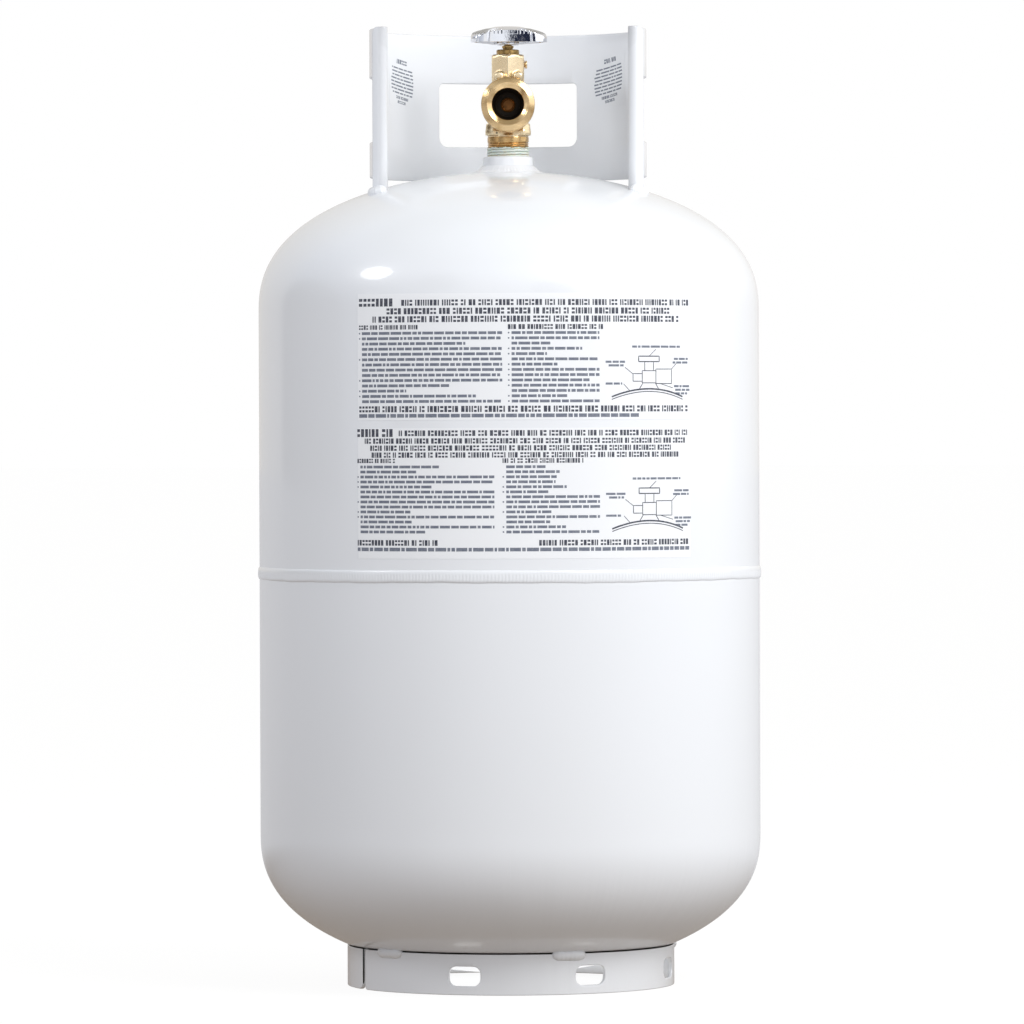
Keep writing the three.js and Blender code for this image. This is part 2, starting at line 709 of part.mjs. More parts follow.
// Sealing tape wound on the shank's thread: thin inside the boss, bunched above it.
function threadTape() {
  const bunchR = SHANK_R + 0.8;
  const section = [
    [SHANK_R + 0.02, -15],
    [BOSS_BORE_R - 0.02, -15],
    [BOSS_BORE_R - 0.02, 0.2],
    [bunchR, 0.5],
    [bunchR, 4.9],
    [SHANK_R + 0.4, 5.7],
    [SHANK_R + 0.02, 5.7],
  ];
  return turned(section);
}

// ---- Stem, spindle and handwheel ----

function packingNut() {
  const thread = GLAND_BORE_R - 0.1;
  const head = 7.15;
  const pocket = STEM_R + 2.15;
  return turned([
    [pocket, 50.6],
    [thread, 50.6],
    [thread, HEX_TOP + 0.1],
    [head, HEX_TOP + 0.1],
    [head, 66.3],
    [head - 0.6, 66.8],
    [STEM_R + 0.2, 66.8],
    [STEM_R + 0.2, 56],
    [pocket, 56],
  ]);
}

// The stem turns in place: a collar under the packing nut holds it down, a flat tang below drives
// the spindle, and a square above carries the handwheel.
function stem() {
  const collarR = 4.8;
  const tangWidth = 8.4;
  const tangFoot = 37;
  const collarFoot = 46.3;
  const round = turned([
    [0, collarFoot],
    [collarR, collarFoot],
    [collarR, 49.3],
    [STEM_R, 49.3],
    [STEM_R, 66.5],
    [STEM_R - 0.3, STEM_SHOULDER],
    [0, STEM_SHOULDER],
  ]);
  const tang = box(tangWidth, TANG_THICKNESS, tangFoot, collarFoot + RUN_OUT);
  const square = box(SQUARE, SQUARE, STEM_SHOULDER - RUN_OUT, SQUARE_TOP);
  const screwHole = rod(1.6, SQUARE_TOP - 9, SQUARE_TOP + RUN_OUT, FINE_SEGMENTS);
  return toGeometry(carve(join(round, tang, square), screwHole));
}

// The spindle screws up and down in the body's thread and carries the seat disc underneath.
function lowerSpindle() {
  const foot = 28.4;
  const top = 42;
  const slotFloor = 34;
  const slotWidth = TANG_THICKNESS + 0.5;
  const blank = turned([[0, foot], [4.9, foot], [4.9, 30], [SPINDLE_R, 31], [SPINDLE_R, top], [0, top]]);
  const slot = box(3 * SPINDLE_R, slotWidth, slotFloor, top + RUN_OUT);
  return toGeometry(carve(toSolid(blank), slot));
}

const seatDisc = () => rod(5, SEAT_TOP + 0.1, 28.3, SMALL_SEGMENTS);

// A torus ring about Z at a height, closed all round.
function sealRing(radius, wire, height) {
  const section = roundSection(wire, 6).map(([out, up]) => [radius + out, height + up]);
  return turned(section, SMALL_SEGMENTS);
}

// How far the handwheel's edge is from its axis at an azimuth, as a fraction of a corner's reach.
// Its outline is a triangle with flat sides and big round corners, one flat facing the front.
function wheelOutline(azimuth) {
  const third = (2 * Math.PI) / 3;
  const fromFlat = Math.abs(azimuth - third * Math.round(azimuth / third));
  const flatReach = WHEEL_CORNER_REACH * Math.sin(Math.PI / 6) + WHEEL_CORNER_R;
  const flatHalf = WHEEL_CORNER_REACH * Math.cos(Math.PI / 6);
  const full = WHEEL_CORNER_REACH + WHEEL_CORNER_R;
  if (Math.tan(fromFlat) * flatReach < flatHalf) return flatReach / Math.cos(fromFlat) / full;
  const fromCorner = Math.PI / 3 - fromFlat;
  const across = WHEEL_CORNER_REACH * Math.sin(fromCorner);
  return (WHEEL_CORNER_REACH * Math.cos(fromCorner) + Math.sqrt(WHEEL_CORNER_R ** 2 - across ** 2)) / full;
}

// The handwheel is a turned dish, domed above, whose outer part is cut off to the three-sided outline.
function handwheel() {
  const rim = WHEEL_CORNER_REACH + WHEEL_CORNER_R;
  const hub = 7;
  const skirt = 3;
  const dish = turned(
    [
      [0, WHEEL_HUB_FOOT],
      [hub - 0.5, WHEEL_HUB_FOOT],
      [hub, WHEEL_HUB_FOOT + 0.5],
      [hub, WHEEL_PLATE_FOOT],
      [rim - skirt, WHEEL_PLATE_FOOT],
      [rim - 2.2, WHEEL_RIM_FOOT],
      [rim - 0.5, WHEEL_RIM_FOOT],
      [rim, WHEEL_RIM_FOOT + 0.6],
      ...WHEEL_DOME.map(([radius, drop]) => [radius, WHEEL_CROWN - drop]),
      [hub, WHEEL_CROWN - 0.1],
      [5.8, WHEEL_CROWN - 0.3],
      [5.6, SQUARE_TOP + 0.6],
      [0, SQUARE_TOP + 0.6],
    ],
    30,
  );
  const position = dish.getAttribute("position");
  for (let i = 0; i < position.count; i++) {
    const [x, y, z] = [position.getX(i), position.getY(i), position.getZ(i)];
    const radius = Math.hypot(x, y);
    if (radius <= hub + 0.01) continue;
    const edge = rim * wheelOutline(Math.atan2(x, -y));
    const inset = z < WHEEL_PLATE_FOOT + 0.01 ? Math.min(rim - radius, skirt) : 0;
    const scale = Math.min(1, (edge - inset) / radius);
    position.setXY(i, x * scale, y * scale);
  }
  const squareHole = box(SQUARE + 0.3, SQUARE + 0.3, WHEEL_HUB_FOOT - RUN_OUT, SQUARE_TOP + RUN_OUT);
  return toGeometry(carve(toSolid(dish), squareHole));
}

function handwheelScrew() {
  const headFoot = SQUARE_TOP + 1.5;
  const blank = turned(
    [
      [0, SQUARE_TOP - 8],
      [1.5, SQUARE_TOP - 8],
      [1.5, headFoot],
      [3.9, headFoot],
      [3.9, headFoot + 1.2],
      [3, headFoot + 2],
      [0, headFoot + 2.3],
    ],
    SMALL_SEGMENTS,
  );
  const slot = box(12, 1, headFoot + 1.2, headFoot + 4);
  return toGeometry(carve(toSolid(blank), slot));
}

const handwheelWasher = () => ring(1.8, 5.2, SQUARE_TOP + 0.7, SQUARE_TOP + 1.4, SMALL_SEGMENTS);

// ---- Outlet fittings; distances from here on are forward from the valve's axis ----

function outletSeal() {
  const inner = 4.6;
  const outer = SOCKET_R - 0.2;
  const back = SOCKET_FLOOR + 0.1;
  const face = SOCKET_FLOOR + 3.2;
  return turned(
    [
      [inner, back],
      [outer, back],
      [outer, face],
      [8.2, face],
      [7.9, face + 0.8],
      [7.1, face + 0.8],
      [6.8, face],
      [inner, face],
    ],
    SMALL_SEGMENTS,
  );
}

// The sprung poppet shuts against the back of the seal until a connector pushes its nose in.
function checkPoppet() {
  return turned(
    [
      [0, 9.5],
      [1.5, 9.5],
      [1.5, 17.4],
      [6.4, 17.4],
      [6.4, 19.9],
      [4.2, 19.9],
      [4.2, 21.8],
      [3.2, 22.6],
      [0, 22.9],
    ],
    SMALL_SEGMENTS,
  );
}

function checkGuide() {
  const wayCount = 3;
  const blank = ring(1.8, CHECK_BORE_R - 0.2, CHECK_FLOOR + 0.2, CHECK_FLOOR + 1.4, SMALL_SEGMENTS);
  const ways = [];
  for (let i = 0; i < wayCount; i++) {
    const way = rod(1.4, CHECK_FLOOR, CHECK_FLOOR + 2, FINE_SEGMENTS).translate(4.3, 0, 0);
    ways.push(way.rotateZ((2 * Math.PI * i) / wayCount));
  }
  return toGeometry(carve(toSolid(blank), ...ways));
}

const checkSpring = () => coilSpring(4.6, 0.4, CHECK_FLOOR + 1.5, 17.3, 3);

// ---- Relief valve; distances are backward from the valve's axis ----

const reliefSeal = () => rod(4.4, RELIEF_SEAT + 0.1, RELIEF_SEAT + 1.3, SMALL_SEGMENTS);

function reliefPoppet() {
  const section = [[0, 12.4], [4.8, 12.4], [4.8, 14.2], [1.5, 14.2], [1.5, 20.6], [0, 20.6]];
  return turned(section, SMALL_SEGMENTS);
}

const reliefSpring = () => coilSpring(3.6, 0.45, 14.3, 19.8, 3);

// A threaded ring that sets the spring's load, with two vent notches for a key.
function reliefAdjuster() {
  const blank = ring(1.8, RELIEF_BORE_R - 0.2, 19.9, 22.6, SMALL_SEGMENTS);
  const notch = box(2, 4 * RELIEF_BORE_R, 21.2, 24);
  return toGeometry(carve(toSolid(blank), notch));
}

// ---- Liquid level gauge; distances are outward from the valve's axis ----

function bleederScrew() {
  const thread = 1.6;
  const head = 2.5;
  const blank = turned(
    [
      [0, 9.4],
      [thread - 0.5, 9.6],
      [thread, 10.2],
      [thread, BLEEDER_HEAD_FOOT],
      [head, BLEEDER_HEAD_FOOT],
      [head, BLEEDER_HEAD_END - 0.3],
      [head - 0.3, BLEEDER_HEAD_END],
      [0, BLEEDER_HEAD_END],
    ],
    SMALL_SEGMENTS,
  );
  const slot = box(0.8, 4 * head, BLEEDER_HEAD_END - 0.6, BLEEDER_HEAD_END + RUN_OUT);
  return toGeometry(carve(toSolid(blank), slot));
}

const dipTube = () => ring(DIP_TUBE_BORE_R, DIP_TUBE_R, DIP_TUBE_FOOT, SHANK_FOOT + 3.5, FINE_SEGMENTS);

// ---- Overfill stop, inside the vessel ----

function stopHousing() {
  const seatFoot = STOP_TOP - 4;
  const guideTop = STOP_FOOT + 3;
  const stemHole = 2.4;
  const shell = turned([
    [stemHole, STOP_FOOT],
    [STOP_R, STOP_FOOT],
    [STOP_R, STOP_TOP],
    [STOP_NECK_R, STOP_TOP],
    [STOP_NECK_R, STOP_TOP + 8],
    [3.4, STOP_TOP + 8],
    [3.4, seatFoot],
    [STOP_BORE_R, seatFoot],
    [STOP_BORE_R, guideTop],
    [stemHole, guideTop],
  ]);
  const earLength = 7;
  const ear = (x) => box(2, 5, STOP_FOOT - earLength, STOP_FOOT + 0.5).translate(x, FLOAT_PIVOT_Y, 0);
  const pinHole = rod(1.1, -20, 20, FINE_SEGMENTS).rotateY(Math.PI / 2);
  const tubeHole = rod(DIP_TUBE_R + GAP, STOP_FOOT - RUN_OUT, STOP_TOP + RUN_OUT, FINE_SEGMENTS);
  const inlet = rod(1.6, 0, 20, FINE_SEGMENTS).rotateX(Math.PI / 2).translate(0, 0, guideTop + 3);
  const inlets = [30, 150, 210, 330].map((azimuth) => inlet.clone().rotateZ(radians(azimuth)));
  const earLeft = FLOAT_ARM_X - FLOAT_ARM_WIDTH / 2 - 1.3;
  const earRight = FLOAT_ARM_X + FLOAT_ARM_WIDTH / 2 + 1.3;
  const blank = toSolid(shell).add(join(ear(earLeft), ear(earRight)));
  pinHole.translate(0, FLOAT_PIVOT_Y, FLOAT_PIVOT_Z);
  return toGeometry(carve(blank, pinHole, tubeHole.translate(GAUGE_DUCT_X, 0, 0), ...inlets));
}

// The piston is pushed up against the housing's seat by the nose of the float arm.
function stopPiston() {
  const section = [[0, -43.4], [2.2, -43.4], [2.2, -31.6], [4.9, -31.6], [4.9, -26.2], [0, -26.2]];
  return turned(section, SMALL_SEGMENTS);
}

function floatArm() {
  const half = FLOAT_ARM_WIDTH / 2;
  const eye = rod(2, -half, half, SMALL_SEGMENTS).rotateY(Math.PI / 2);
  const stalk = box(FLOAT_ARM_WIDTH, 2, FLOAT_TOP - FLOAT_SOCKET + GAP - FLOAT_PIVOT_Z, -1);
  const noseFall = radians(-17);
  const nose = box(FLOAT_ARM_WIDTH, 4.5, -1, 1).translate(0, -2.6, 0).rotateX(-noseFall);
  const pinHole = rod(1.1, -half - 1, half + 1, FINE_SEGMENTS).rotateY(Math.PI / 2);
  return toGeometry(carve(join(eye, stalk, nose), pinHole));
}

const floatPin = () => rod(1, -4.7, 4.7, FINE_SEGMENTS).rotateY(Math.PI / 2);

// A slim float that passes the neck when it hangs down, with a socket in its top for the arm.
function stopFloat() {
  const foot = -FLOAT_LENGTH;
  const round = 3;
  const blank = turned(
    [
      [0, foot],
      [FLOAT_R - round, foot],
      [FLOAT_R - 0.9, foot + 0.9],
      [FLOAT_R, foot + round],
      [FLOAT_R, -round],
      [FLOAT_R - 0.9, -0.9],
      [FLOAT_R - round, 0],
      [0, 0],
    ],
    SMALL_SEGMENTS,
  );
  const socket = box(FLOAT_ARM_WIDTH + 2 * GAP, 2 + 2 * GAP, -FLOAT_SOCKET, RUN_OUT);
  socket.translate(FLOAT_ARM_X - FLOAT_X, FLOAT_PIVOT_Y - FLOAT_Y, 0);
  return toGeometry(carve(toSolid(blank), socket));
}

// ---- Finishes ----

const finish = (color, roughness, metalness) => ({ color, roughness, metalness });
const WHITE_PAINT = finish(0xf2f3f5, 0.32, 0);
const BRASS = finish(0xc9a45c, 0.34, 1);
const CHROME = finish(0xd9dce0, 0.12, 1);
const STEEL = finish(0xa8abb0, 0.35, 1);
const RUBBER = finish(0x1c1b1a, 0.7, 0);
const TAPE = finish(0xe6ebe4, 0.6, 0);
const NYLON = finish(0xd8d4c8, 0.5, 0);
const FLOAT_PLASTIC = finish(0x3a3d40, 0.55, 0);
const PRINTED_FILM = finish(0xf6f7f9, 0.4, 0);

// ---- Assembly ----

function place(group, name, geometry, look, at = [0, 0, 0]) {
  const mesh = new THREE.Mesh(geometry, new THREE.MeshStandardMaterial(look));
  mesh.name = name;
  mesh.position.set(...at);
  group.add(mesh);
  return mesh;
}

function subgroup(parent, at, rotation = [0, 0, 0]) {
  const group = new THREE.Group();
  group.position.set(...at);
  group.rotation.set(...rotation);
  parent.add(group);
  return group;
}

const tank = new THREE.Group();

place(tank, "upper_shell", upperShell(), WHITE_PAINT);
place(tank, "lower_shell", lowerShell(), WHITE_PAINT);
place(tank, "girth_weld", girthWeld(), WHITE_PAINT, [0, 0, SEAM_Z]);
place(tank, "foot_ring", footRing(), WHITE_PAINT);
FOOT_WELD_AZIMUTHS.forEach((azimuth, i) => {
  place(tank, `foot_ring_weld_${i + 1}`, footRingWeld(azimuth), WHITE_PAINT);
});
place(tank, "collar", collar(), WHITE_PAINT);
place(tank, "collar_weld_front_left", collarFrontWeld(-1), WHITE_PAINT);
place(tank, "collar_weld_front_right", collarFrontWeld(1), WHITE_PAINT);
place(tank, "collar_weld_rear_left", collarRearWeld(-REAR_LEG_AZIMUTH), WHITE_PAINT);
place(tank, "collar_weld_rear_right", collarRearWeld(REAR_LEG_AZIMUTH), WHITE_PAINT);
place(tank, "front_decal_upper", frontDecal(70), PRINTED_FILM, [0, 0, UPPER_DECAL_FOOT]);
place(tank, "front_decal_lower", frontDecal(79), PRINTED_FILM, [0, 0, LOWER_DECAL_FOOT]);
place(tank, "collar_decal_left", collarDecal(31, -136, -117), PRINTED_FILM, [0, 0, COLLAR_DECAL_FOOT]);
place(tank, "collar_decal_right", collarDecal(32, 119, 141), PRINTED_FILM, [0, 0, COLLAR_DECAL_FOOT]);

const valve = subgroup(tank, [0, 0, BOSS_TOP]);
place(valve, "valve_boss", valveBoss(), WHITE_PAINT);
place(valve, "boss_weld", bossWeld(), WHITE_PAINT);
place(valve, "valve_body", valveBody(), BRASS);
place(valve, "thread_tape", threadTape(), TAPE);
place(valve, "packing_nut", packingNut(), BRASS);
place(valve, "stem_washer", ring(STEM_R + 0.2, 6, 49.5, 50.4, SMALL_SEGMENTS), NYLON);
place(valve, "stem_seal", sealRing(STEM_R + 1.05, 0.95, 54.4), RUBBER);
place(valve, "seat_disc", seatDisc(), RUBBER);

const wheel = subgroup(valve, [0, 0, 0], [0, 0, radians(WHEEL_TURN)]);
place(wheel, "stem", stem(), BRASS);
place(wheel, "lower_spindle", lowerSpindle(), BRASS);
place(wheel, "handwheel", handwheel(), CHROME);
place(wheel, "handwheel_washer", handwheelWasher(), STEEL);
place(wheel, "handwheel_screw", handwheelScrew(), STEEL);

const outlet = subgroup(valve, [0, 0, OUTLET_Z], [Math.PI / 2, 0, 0]);
place(outlet, "outlet_seal", outletSeal(), RUBBER);
place(outlet, "check_poppet", checkPoppet(), BRASS);
place(outlet, "check_spring", checkSpring(), STEEL);
place(outlet, "check_guide", checkGuide(), BRASS);

const relief = subgroup(valve, [0, 0, OUTLET_Z], [-Math.PI / 2, 0, 0]);
place(relief, "relief_seal", reliefSeal(), RUBBER);
place(relief, "relief_poppet", reliefPoppet(), BRASS);
place(relief, "relief_spring", reliefSpring(), STEEL);
place(relief, "relief_adjuster", reliefAdjuster(), BRASS);

const bleeder = subgroup(valve, [0, 0, BLEEDER_Z], [0, Math.PI / 2, 0]);
place(bleeder, "bleeder_screw", bleederScrew(), BRASS);
place(valve, "dip_tube", dipTube(), BRASS, [GAUGE_DUCT_X, 0, 0]);

place(valve, "overfill_stop_housing", stopHousing(), BRASS);
place(valve, "overfill_stop_piston", stopPiston(), NYLON);
const arm = subgroup(valve, [FLOAT_ARM_X, FLOAT_PIVOT_Y, FLOAT_PIVOT_Z]);
place(arm, "float_arm", floatArm(), STEEL);
place(arm, "float_pin", floatPin(), STEEL);
place(valve, "float", stopFloat(), FLOAT_PLASTIC, [FLOAT_X, FLOAT_Y, FLOAT_TOP]);

export default tank;
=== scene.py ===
# The looks of a portable steel gas cylinder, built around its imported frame.
# Lengths are millimetres here and become metres where a mesh is made. +Z is up and the valve's
# outlet faces -Y. An azimuth is in degrees from the front (-Y), growing towards +X. Heights inside
# the valve are given above the top face of the boss that it screws into.
import math
import random

import bmesh
import bpy
import numpy as np
from mathutils import Matrix, Vector


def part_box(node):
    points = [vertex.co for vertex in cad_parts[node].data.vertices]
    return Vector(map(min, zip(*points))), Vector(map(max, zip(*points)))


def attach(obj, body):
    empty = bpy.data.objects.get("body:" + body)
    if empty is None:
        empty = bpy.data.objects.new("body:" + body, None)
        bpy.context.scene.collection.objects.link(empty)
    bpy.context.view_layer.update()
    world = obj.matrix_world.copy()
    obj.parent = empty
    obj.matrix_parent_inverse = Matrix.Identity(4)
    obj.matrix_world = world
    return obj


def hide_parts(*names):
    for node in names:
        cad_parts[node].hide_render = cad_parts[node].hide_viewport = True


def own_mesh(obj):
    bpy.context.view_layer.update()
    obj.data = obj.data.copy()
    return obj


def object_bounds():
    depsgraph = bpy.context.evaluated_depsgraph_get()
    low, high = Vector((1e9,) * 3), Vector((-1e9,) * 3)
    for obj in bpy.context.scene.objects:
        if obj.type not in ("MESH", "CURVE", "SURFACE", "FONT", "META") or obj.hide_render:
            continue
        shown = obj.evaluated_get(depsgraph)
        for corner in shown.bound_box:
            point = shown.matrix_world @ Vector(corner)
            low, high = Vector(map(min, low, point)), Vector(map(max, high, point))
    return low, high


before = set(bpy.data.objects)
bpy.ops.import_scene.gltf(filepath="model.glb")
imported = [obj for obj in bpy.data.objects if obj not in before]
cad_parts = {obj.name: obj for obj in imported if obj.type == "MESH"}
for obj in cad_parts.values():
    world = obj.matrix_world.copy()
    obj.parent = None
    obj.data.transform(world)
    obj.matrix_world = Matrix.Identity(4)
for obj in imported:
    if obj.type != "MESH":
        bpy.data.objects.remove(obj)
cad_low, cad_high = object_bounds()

MM = 0.001
TURN = 2 * math.pi


# ---- Sizes read from the frame ----

def low(node):
    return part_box(node)[0] / MM


def high(node):
    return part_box(node)[1] / MM


def middle(node):
    return (low(node) + high(node)) / 2


def node_points(node):
    return [vertex.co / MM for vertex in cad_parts[node].data.vertices]


def reach(node):
    """The farthest that a node gets from the vertical axis."""
    return max(math.hypot(point.x, point.y) for point in node_points(node))


def azimuth_range(node):
    angles = [math.degrees(math.atan2(point.x, -point.y)) for point in node_points(node)]
    return min(angles), max(angles)


VESSEL_R = reach("upper_shell")
VESSEL_BOTTOM = low("lower_shell").z
SEAM_Z = middle("girth_weld").z
VESSEL_TOP = 2 * SEAM_Z - VESSEL_BOTTOM
BEAD_HALF = (high("girth_weld").z - low("girth_weld").z) / 2
BEAD_RISE = reach("girth_weld") - VESSEL_R
COLLAR_R = high("collar").y
COLLAR_TOP = high("collar").z
FOOT_R = reach("foot_ring")
FOOT_HEIGHT = high("foot_ring").z
BOSS_TOP = high("valve_boss").z
BOSS_R = reach("valve_boss")
WELD_R = reach("boss_weld")
OUTLET_Z = middle("outlet_seal").z
OUTLET_FACE = -low("valve_body").y
RELIEF_END = high("valve_body").y
HEX_TOP = high("valve_body").z - BOSS_TOP
BLEEDER_Z = middle("bleeder_screw").z
BLEEDER_END = high("bleeder_screw").x
WHEEL_CROWN = high("handwheel").z - BOSS_TOP
HUB_FOOT = low("handwheel").z - BOSS_TOP

# Vessel
WALL = 2.2
HEAD_DEPTH = 86.4
HEAD_POWER = 2.35
NECK_R = 16.3
UPPER_TANGENT = VESSEL_TOP - HEAD_DEPTH
LOWER_TANGENT = VESSEL_BOTTOM + HEAD_DEPTH

# Guard collar
COLLAR_SHEET = 2.7
COLLAR_END_AZIMUTH = 63
COLLAR_BEND_R = 2.2
LIP_SWEEP = 38
LIP_REACH = 83.3
LIP_CORNER_R = 4
WALL_FOOT = 503
WINDOW_FOOT = 525
WINDOW_TOP = 565
REAR_WINDOW_WIDTH = 88
SIDE_WINDOW_WIDTH = 60
SIDE_WINDOW_AZIMUTH = 91
REAR_LEG_AZIMUTH = 152
REAR_LEG_WIDTH = 22
FRONT_LEG_AZIMUTH = 69
LEG_FILLET = 3

# Foot ring
FOOT_SHEET = 2.5
FOOT_GAP_AZIMUTH = -63
FOOT_GAP = 3
FOOT_TOP = FOOT_HEIGHT + 0.7
SLOT_LENGTH = 20
SLOT_HEIGHT = 12
SLOT_CORNER_R = 4.6
SLOT_Z = 11.5
SLOT_COUNT = 7
SLOT_FIRST_AZIMUTH = -16.3
SLOT_PITCH = 45
FOOT_WELD_COUNT = 5

# Handwheel
WHEEL_CORNER_R = 9.8
WHEEL_CORNER_REACH = 16.3
WHEEL_TURN = 5
EDGE_SOFTNESS = 0.18
# The handwheel's domed top: distance from the axis and drop below the crown
WHEEL_DOME = (
    (26.1, 7.6),
    (25.4, 6.2),
    (24.2, 5.1),
    (22.4, 4.0),
    (20.0, 3.1),
    (17.6, 2.4),
    (13.0, 1.2),
)


# ---- Shapes: a shape is a pair (points, faces), its points in millimetres ----

def merged(*shapes):
    points, faces = [], []
    for shape_points, shape_faces in shapes:
        start = len(points)
        points.extend(tuple(point) for point in shape_points)
        faces.extend(tuple(start + i for i in face) for face in shape_faces)
    return points, faces


def rounded(corners, step=15):
    """A closed outline from (x, y) or (x, y, radius) corners, with an arc at each radius."""
    outline = []
    for i, corner in enumerate(corners):
        here = Vector(corner[:2])
        radius = corner[2] if len(corner) > 2 else 0
        if not radius:
            outline.append(tuple(here))
            continue
        before = (Vector(corners[i - 1][:2]) - here).normalized()
        after = (Vector(corners[(i + 1) % len(corners)][:2]) - here).normalized()
        half = before.angle(after) / 2
        centre = here + (before + after).normalized() * radius / math.sin(half)
        start = here + before * radius / math.tan(half) - centre
        sweep = start.angle_signed(here + after * radius / math.tan(half) - centre)
        count = max(2, round(abs(math.degrees(sweep)) / step))
        for k in range(count + 1):
            turned = Matrix.Rotation(-sweep * k / count, 2) @ start
            outline.append(tuple(centre + turned))
    return outline


def revolve(outline, segments, bend=None):
    """A closed solid turned about Z from a closed outline of (radius, height) points. bend(radius,
    height, azimuth) may move the points, as numpy grids with the azimuth in radians."""
    outline = np.array(outline, float)
    azimuth = np.arange(segments) * TURN / segments
    radius = np.repeat(outline[:, :1], segments, 1)
    height = np.repeat(outline[:, 1:2], segments, 1)
    if bend:
        radius, height = bend(radius, height, np.broadcast_to(azimuth, radius.shape))
    points = np.stack([radius * np.sin(azimuth), -radius * np.cos(azimuth), height], -1)
    rows = len(outline)
    faces = []
    for i in range(rows):
        for j in range(segments):
            k = (j + 1) % segments
            i2 = (i + 1) % rows
            faces.append((i * segments + j, i * segments + k, i2 * segments + k, i2 * segments + j))
    return points.reshape(-1, 3), faces


def moved(shape, *matrices):
    points, faces = shape
    for matrix in matrices:
        points = [matrix @ Vector(point) for point in points]
    return points, faces


def raised(shape):
    """A valve shape, brought up to its place on the boss."""
    return moved(shape, Matrix.Translation((0, 0, BOSS_TOP)))


def along_outlet(shape):
    """A shape that stands on Z, turned to point along -Y from the valve's axis."""
    return moved(shape, Matrix.Rotation(TURN / 4, 4, "X"), Matrix.Translation((0, 0, OUTLET_Z)))


def along_relief(shape):
    return moved(shape, Matrix.Rotation(-TURN / 4, 4, "X"), Matrix.Translation((0, 0, OUTLET_Z)))


def along_bleeder(shape):
    return moved(shape, Matrix.Rotation(TURN / 4, 4, "Y"), Matrix.Translation((0, 0, BLEEDER_Z)))


def disc(radius, bottom, top, edge=0.3):
    return [(0, bottom), (radius, bottom, edge), (radius, top, edge), (0, top)]


def ring(inner, outer, bottom, top, edge=0.2):
    return [(inner, bottom, edge), (outer, bottom, edge), (outer, top, edge), (inner, top, edge)]


def block(width, depth, height, centre):
    """A plain box, as a tool that cuts slots."""
    x, y, z = width / 2, depth / 2, height / 2
    points = [
        (centre[0] + a * x, centre[1] + b * y, centre[2] + c * z)
        for c in (-1, 1)
        for a, b in ((-1, -1), (1, -1), (1, 1), (-1, 1))
    ]
    sides = [(i, (i + 1) % 4, (i + 1) % 4 + 4, i + 4) for i in range(4)]
    return points, [(3, 2, 1, 0), (4, 5, 6, 7), *sides]


def tube(path, radius, sides=12):
    """A closed round bar along a path; radius is a number or a function of the share of the path."""
    path = [Vector(point) for point in path]
    last = len(path) - 1
    points = []
    side = None
    for i, point in enumerate(path):
        along = (path[min(i + 1, last)] - path[max(i - 1, 0)]).normalized()
        if side is None:
            side = along.orthogonal()
        side = (side - along * side.dot(along)).normalized()
        up = along.cross(side)
        size = radius(i / last) if callable(radius) else radius
        for k in range(sides):
            angle = TURN * k / sides
            points.append(point + (side * math.cos(angle) + up * math.sin(angle)) * size)
    faces = []
    for i in range(last):
        for k in range(sides):
            a, b = i * sides + k, i * sides + (k + 1) % sides
            faces.append((a, b, b + sides, a + sides))
    faces.append(tuple(reversed(range(sides))))
    faces.append(tuple(range(last * sides, (last + 1) * sides)))
    return points, faces


# ---- Meshes and pieces ----

def clean_mesh(mesh):
    """Merges doubled points and turns all the faces outwards."""
    work = bmesh.new()
    work.from_mesh(mesh)
    bmesh.ops.remove_doubles(work, verts=work.verts, dist=0.0005)
    bmesh.ops.recalc_face_normals(work, faces=work.faces)
    work.to_mesh(mesh)
    work.free()


def placed(name, data):
    """A new object in the scene."""
    made = bpy.data.objects.new(name, data)
    bpy.context.scene.collection.objects.link(made)
    return made


def mesh_of(name, shape):
    """A mesh still in millimetres, with its doubled points merged and its faces pointing out."""
    points, faces = shape
    mesh = bpy.data.meshes.new(name)
    mesh.from_pydata([tuple(point) for point in points], [], faces)
    clean_mesh(mesh)
    return mesh


def piece(name, shape, material, slot, body="cylinder", replaces=(), sharp=40):
    """A finished piece of the object, from a shape or from a mesh in millimetres."""
    mesh = shape if isinstance(shape, bpy.types.Mesh) else mesh_of(name, shape)
    mesh.name = name
    mesh.transform(Matrix.Scale(MM, 4))
    mesh.shade_smooth()
    mesh.set_sharp_from_angle(angle=math.radians(sharp))
    mesh.materials.clear()
    mesh.materials.append(material)
    made = placed(name, mesh)
    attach(made, body)
    if replaces:
        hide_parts(*replaces)
    return made


def with_modifiers(mesh, settings):
    """The mesh after a list of (modifier type, properties), each object they use being removed."""
    made = placed("work", mesh)
    for kind, properties in settings:
        modifier = made.modifiers.new(kind, kind)
        for key, value in properties.items():
            setattr(modifier, key, value)
    graph = bpy.context.evaluated_depsgraph_get()
    result = bpy.data.meshes.new_from_object(made.evaluated_get(graph))
    bpy.data.objects.remove(made)
    return result


def boolean(mesh, operation, *shapes):
    for shape in shapes:
        tool = placed("tool", mesh_of("tool", shape))
        settings = {"operation": operation, "object": tool, "solver": "EXACT"}
        mesh = with_modifiers(mesh, [("BOOLEAN", settings)])
        bpy.data.objects.remove(tool)
    return mesh


# ---- Materials ----

def new_material(name):
    material = bpy.data.materials.new(name)
    material.use_nodes = True
    return material, material.node_tree, material.node_tree.nodes["Principled BSDF"]


def node(tree, kind, inputs=(), **settings):
    """Adds a node, sets or links its inputs by name or index, and returns its first output."""
    made = tree.nodes.new(kind)
    for key, value in settings.items():
        setattr(made, key, value)
    for key, value in dict(inputs).items():
        if isinstance(value, bpy.types.NodeSocket):
            tree.links.new(value, made.inputs[key])
        else:
            made.inputs[key].default_value = value
    return made.outputs[0]


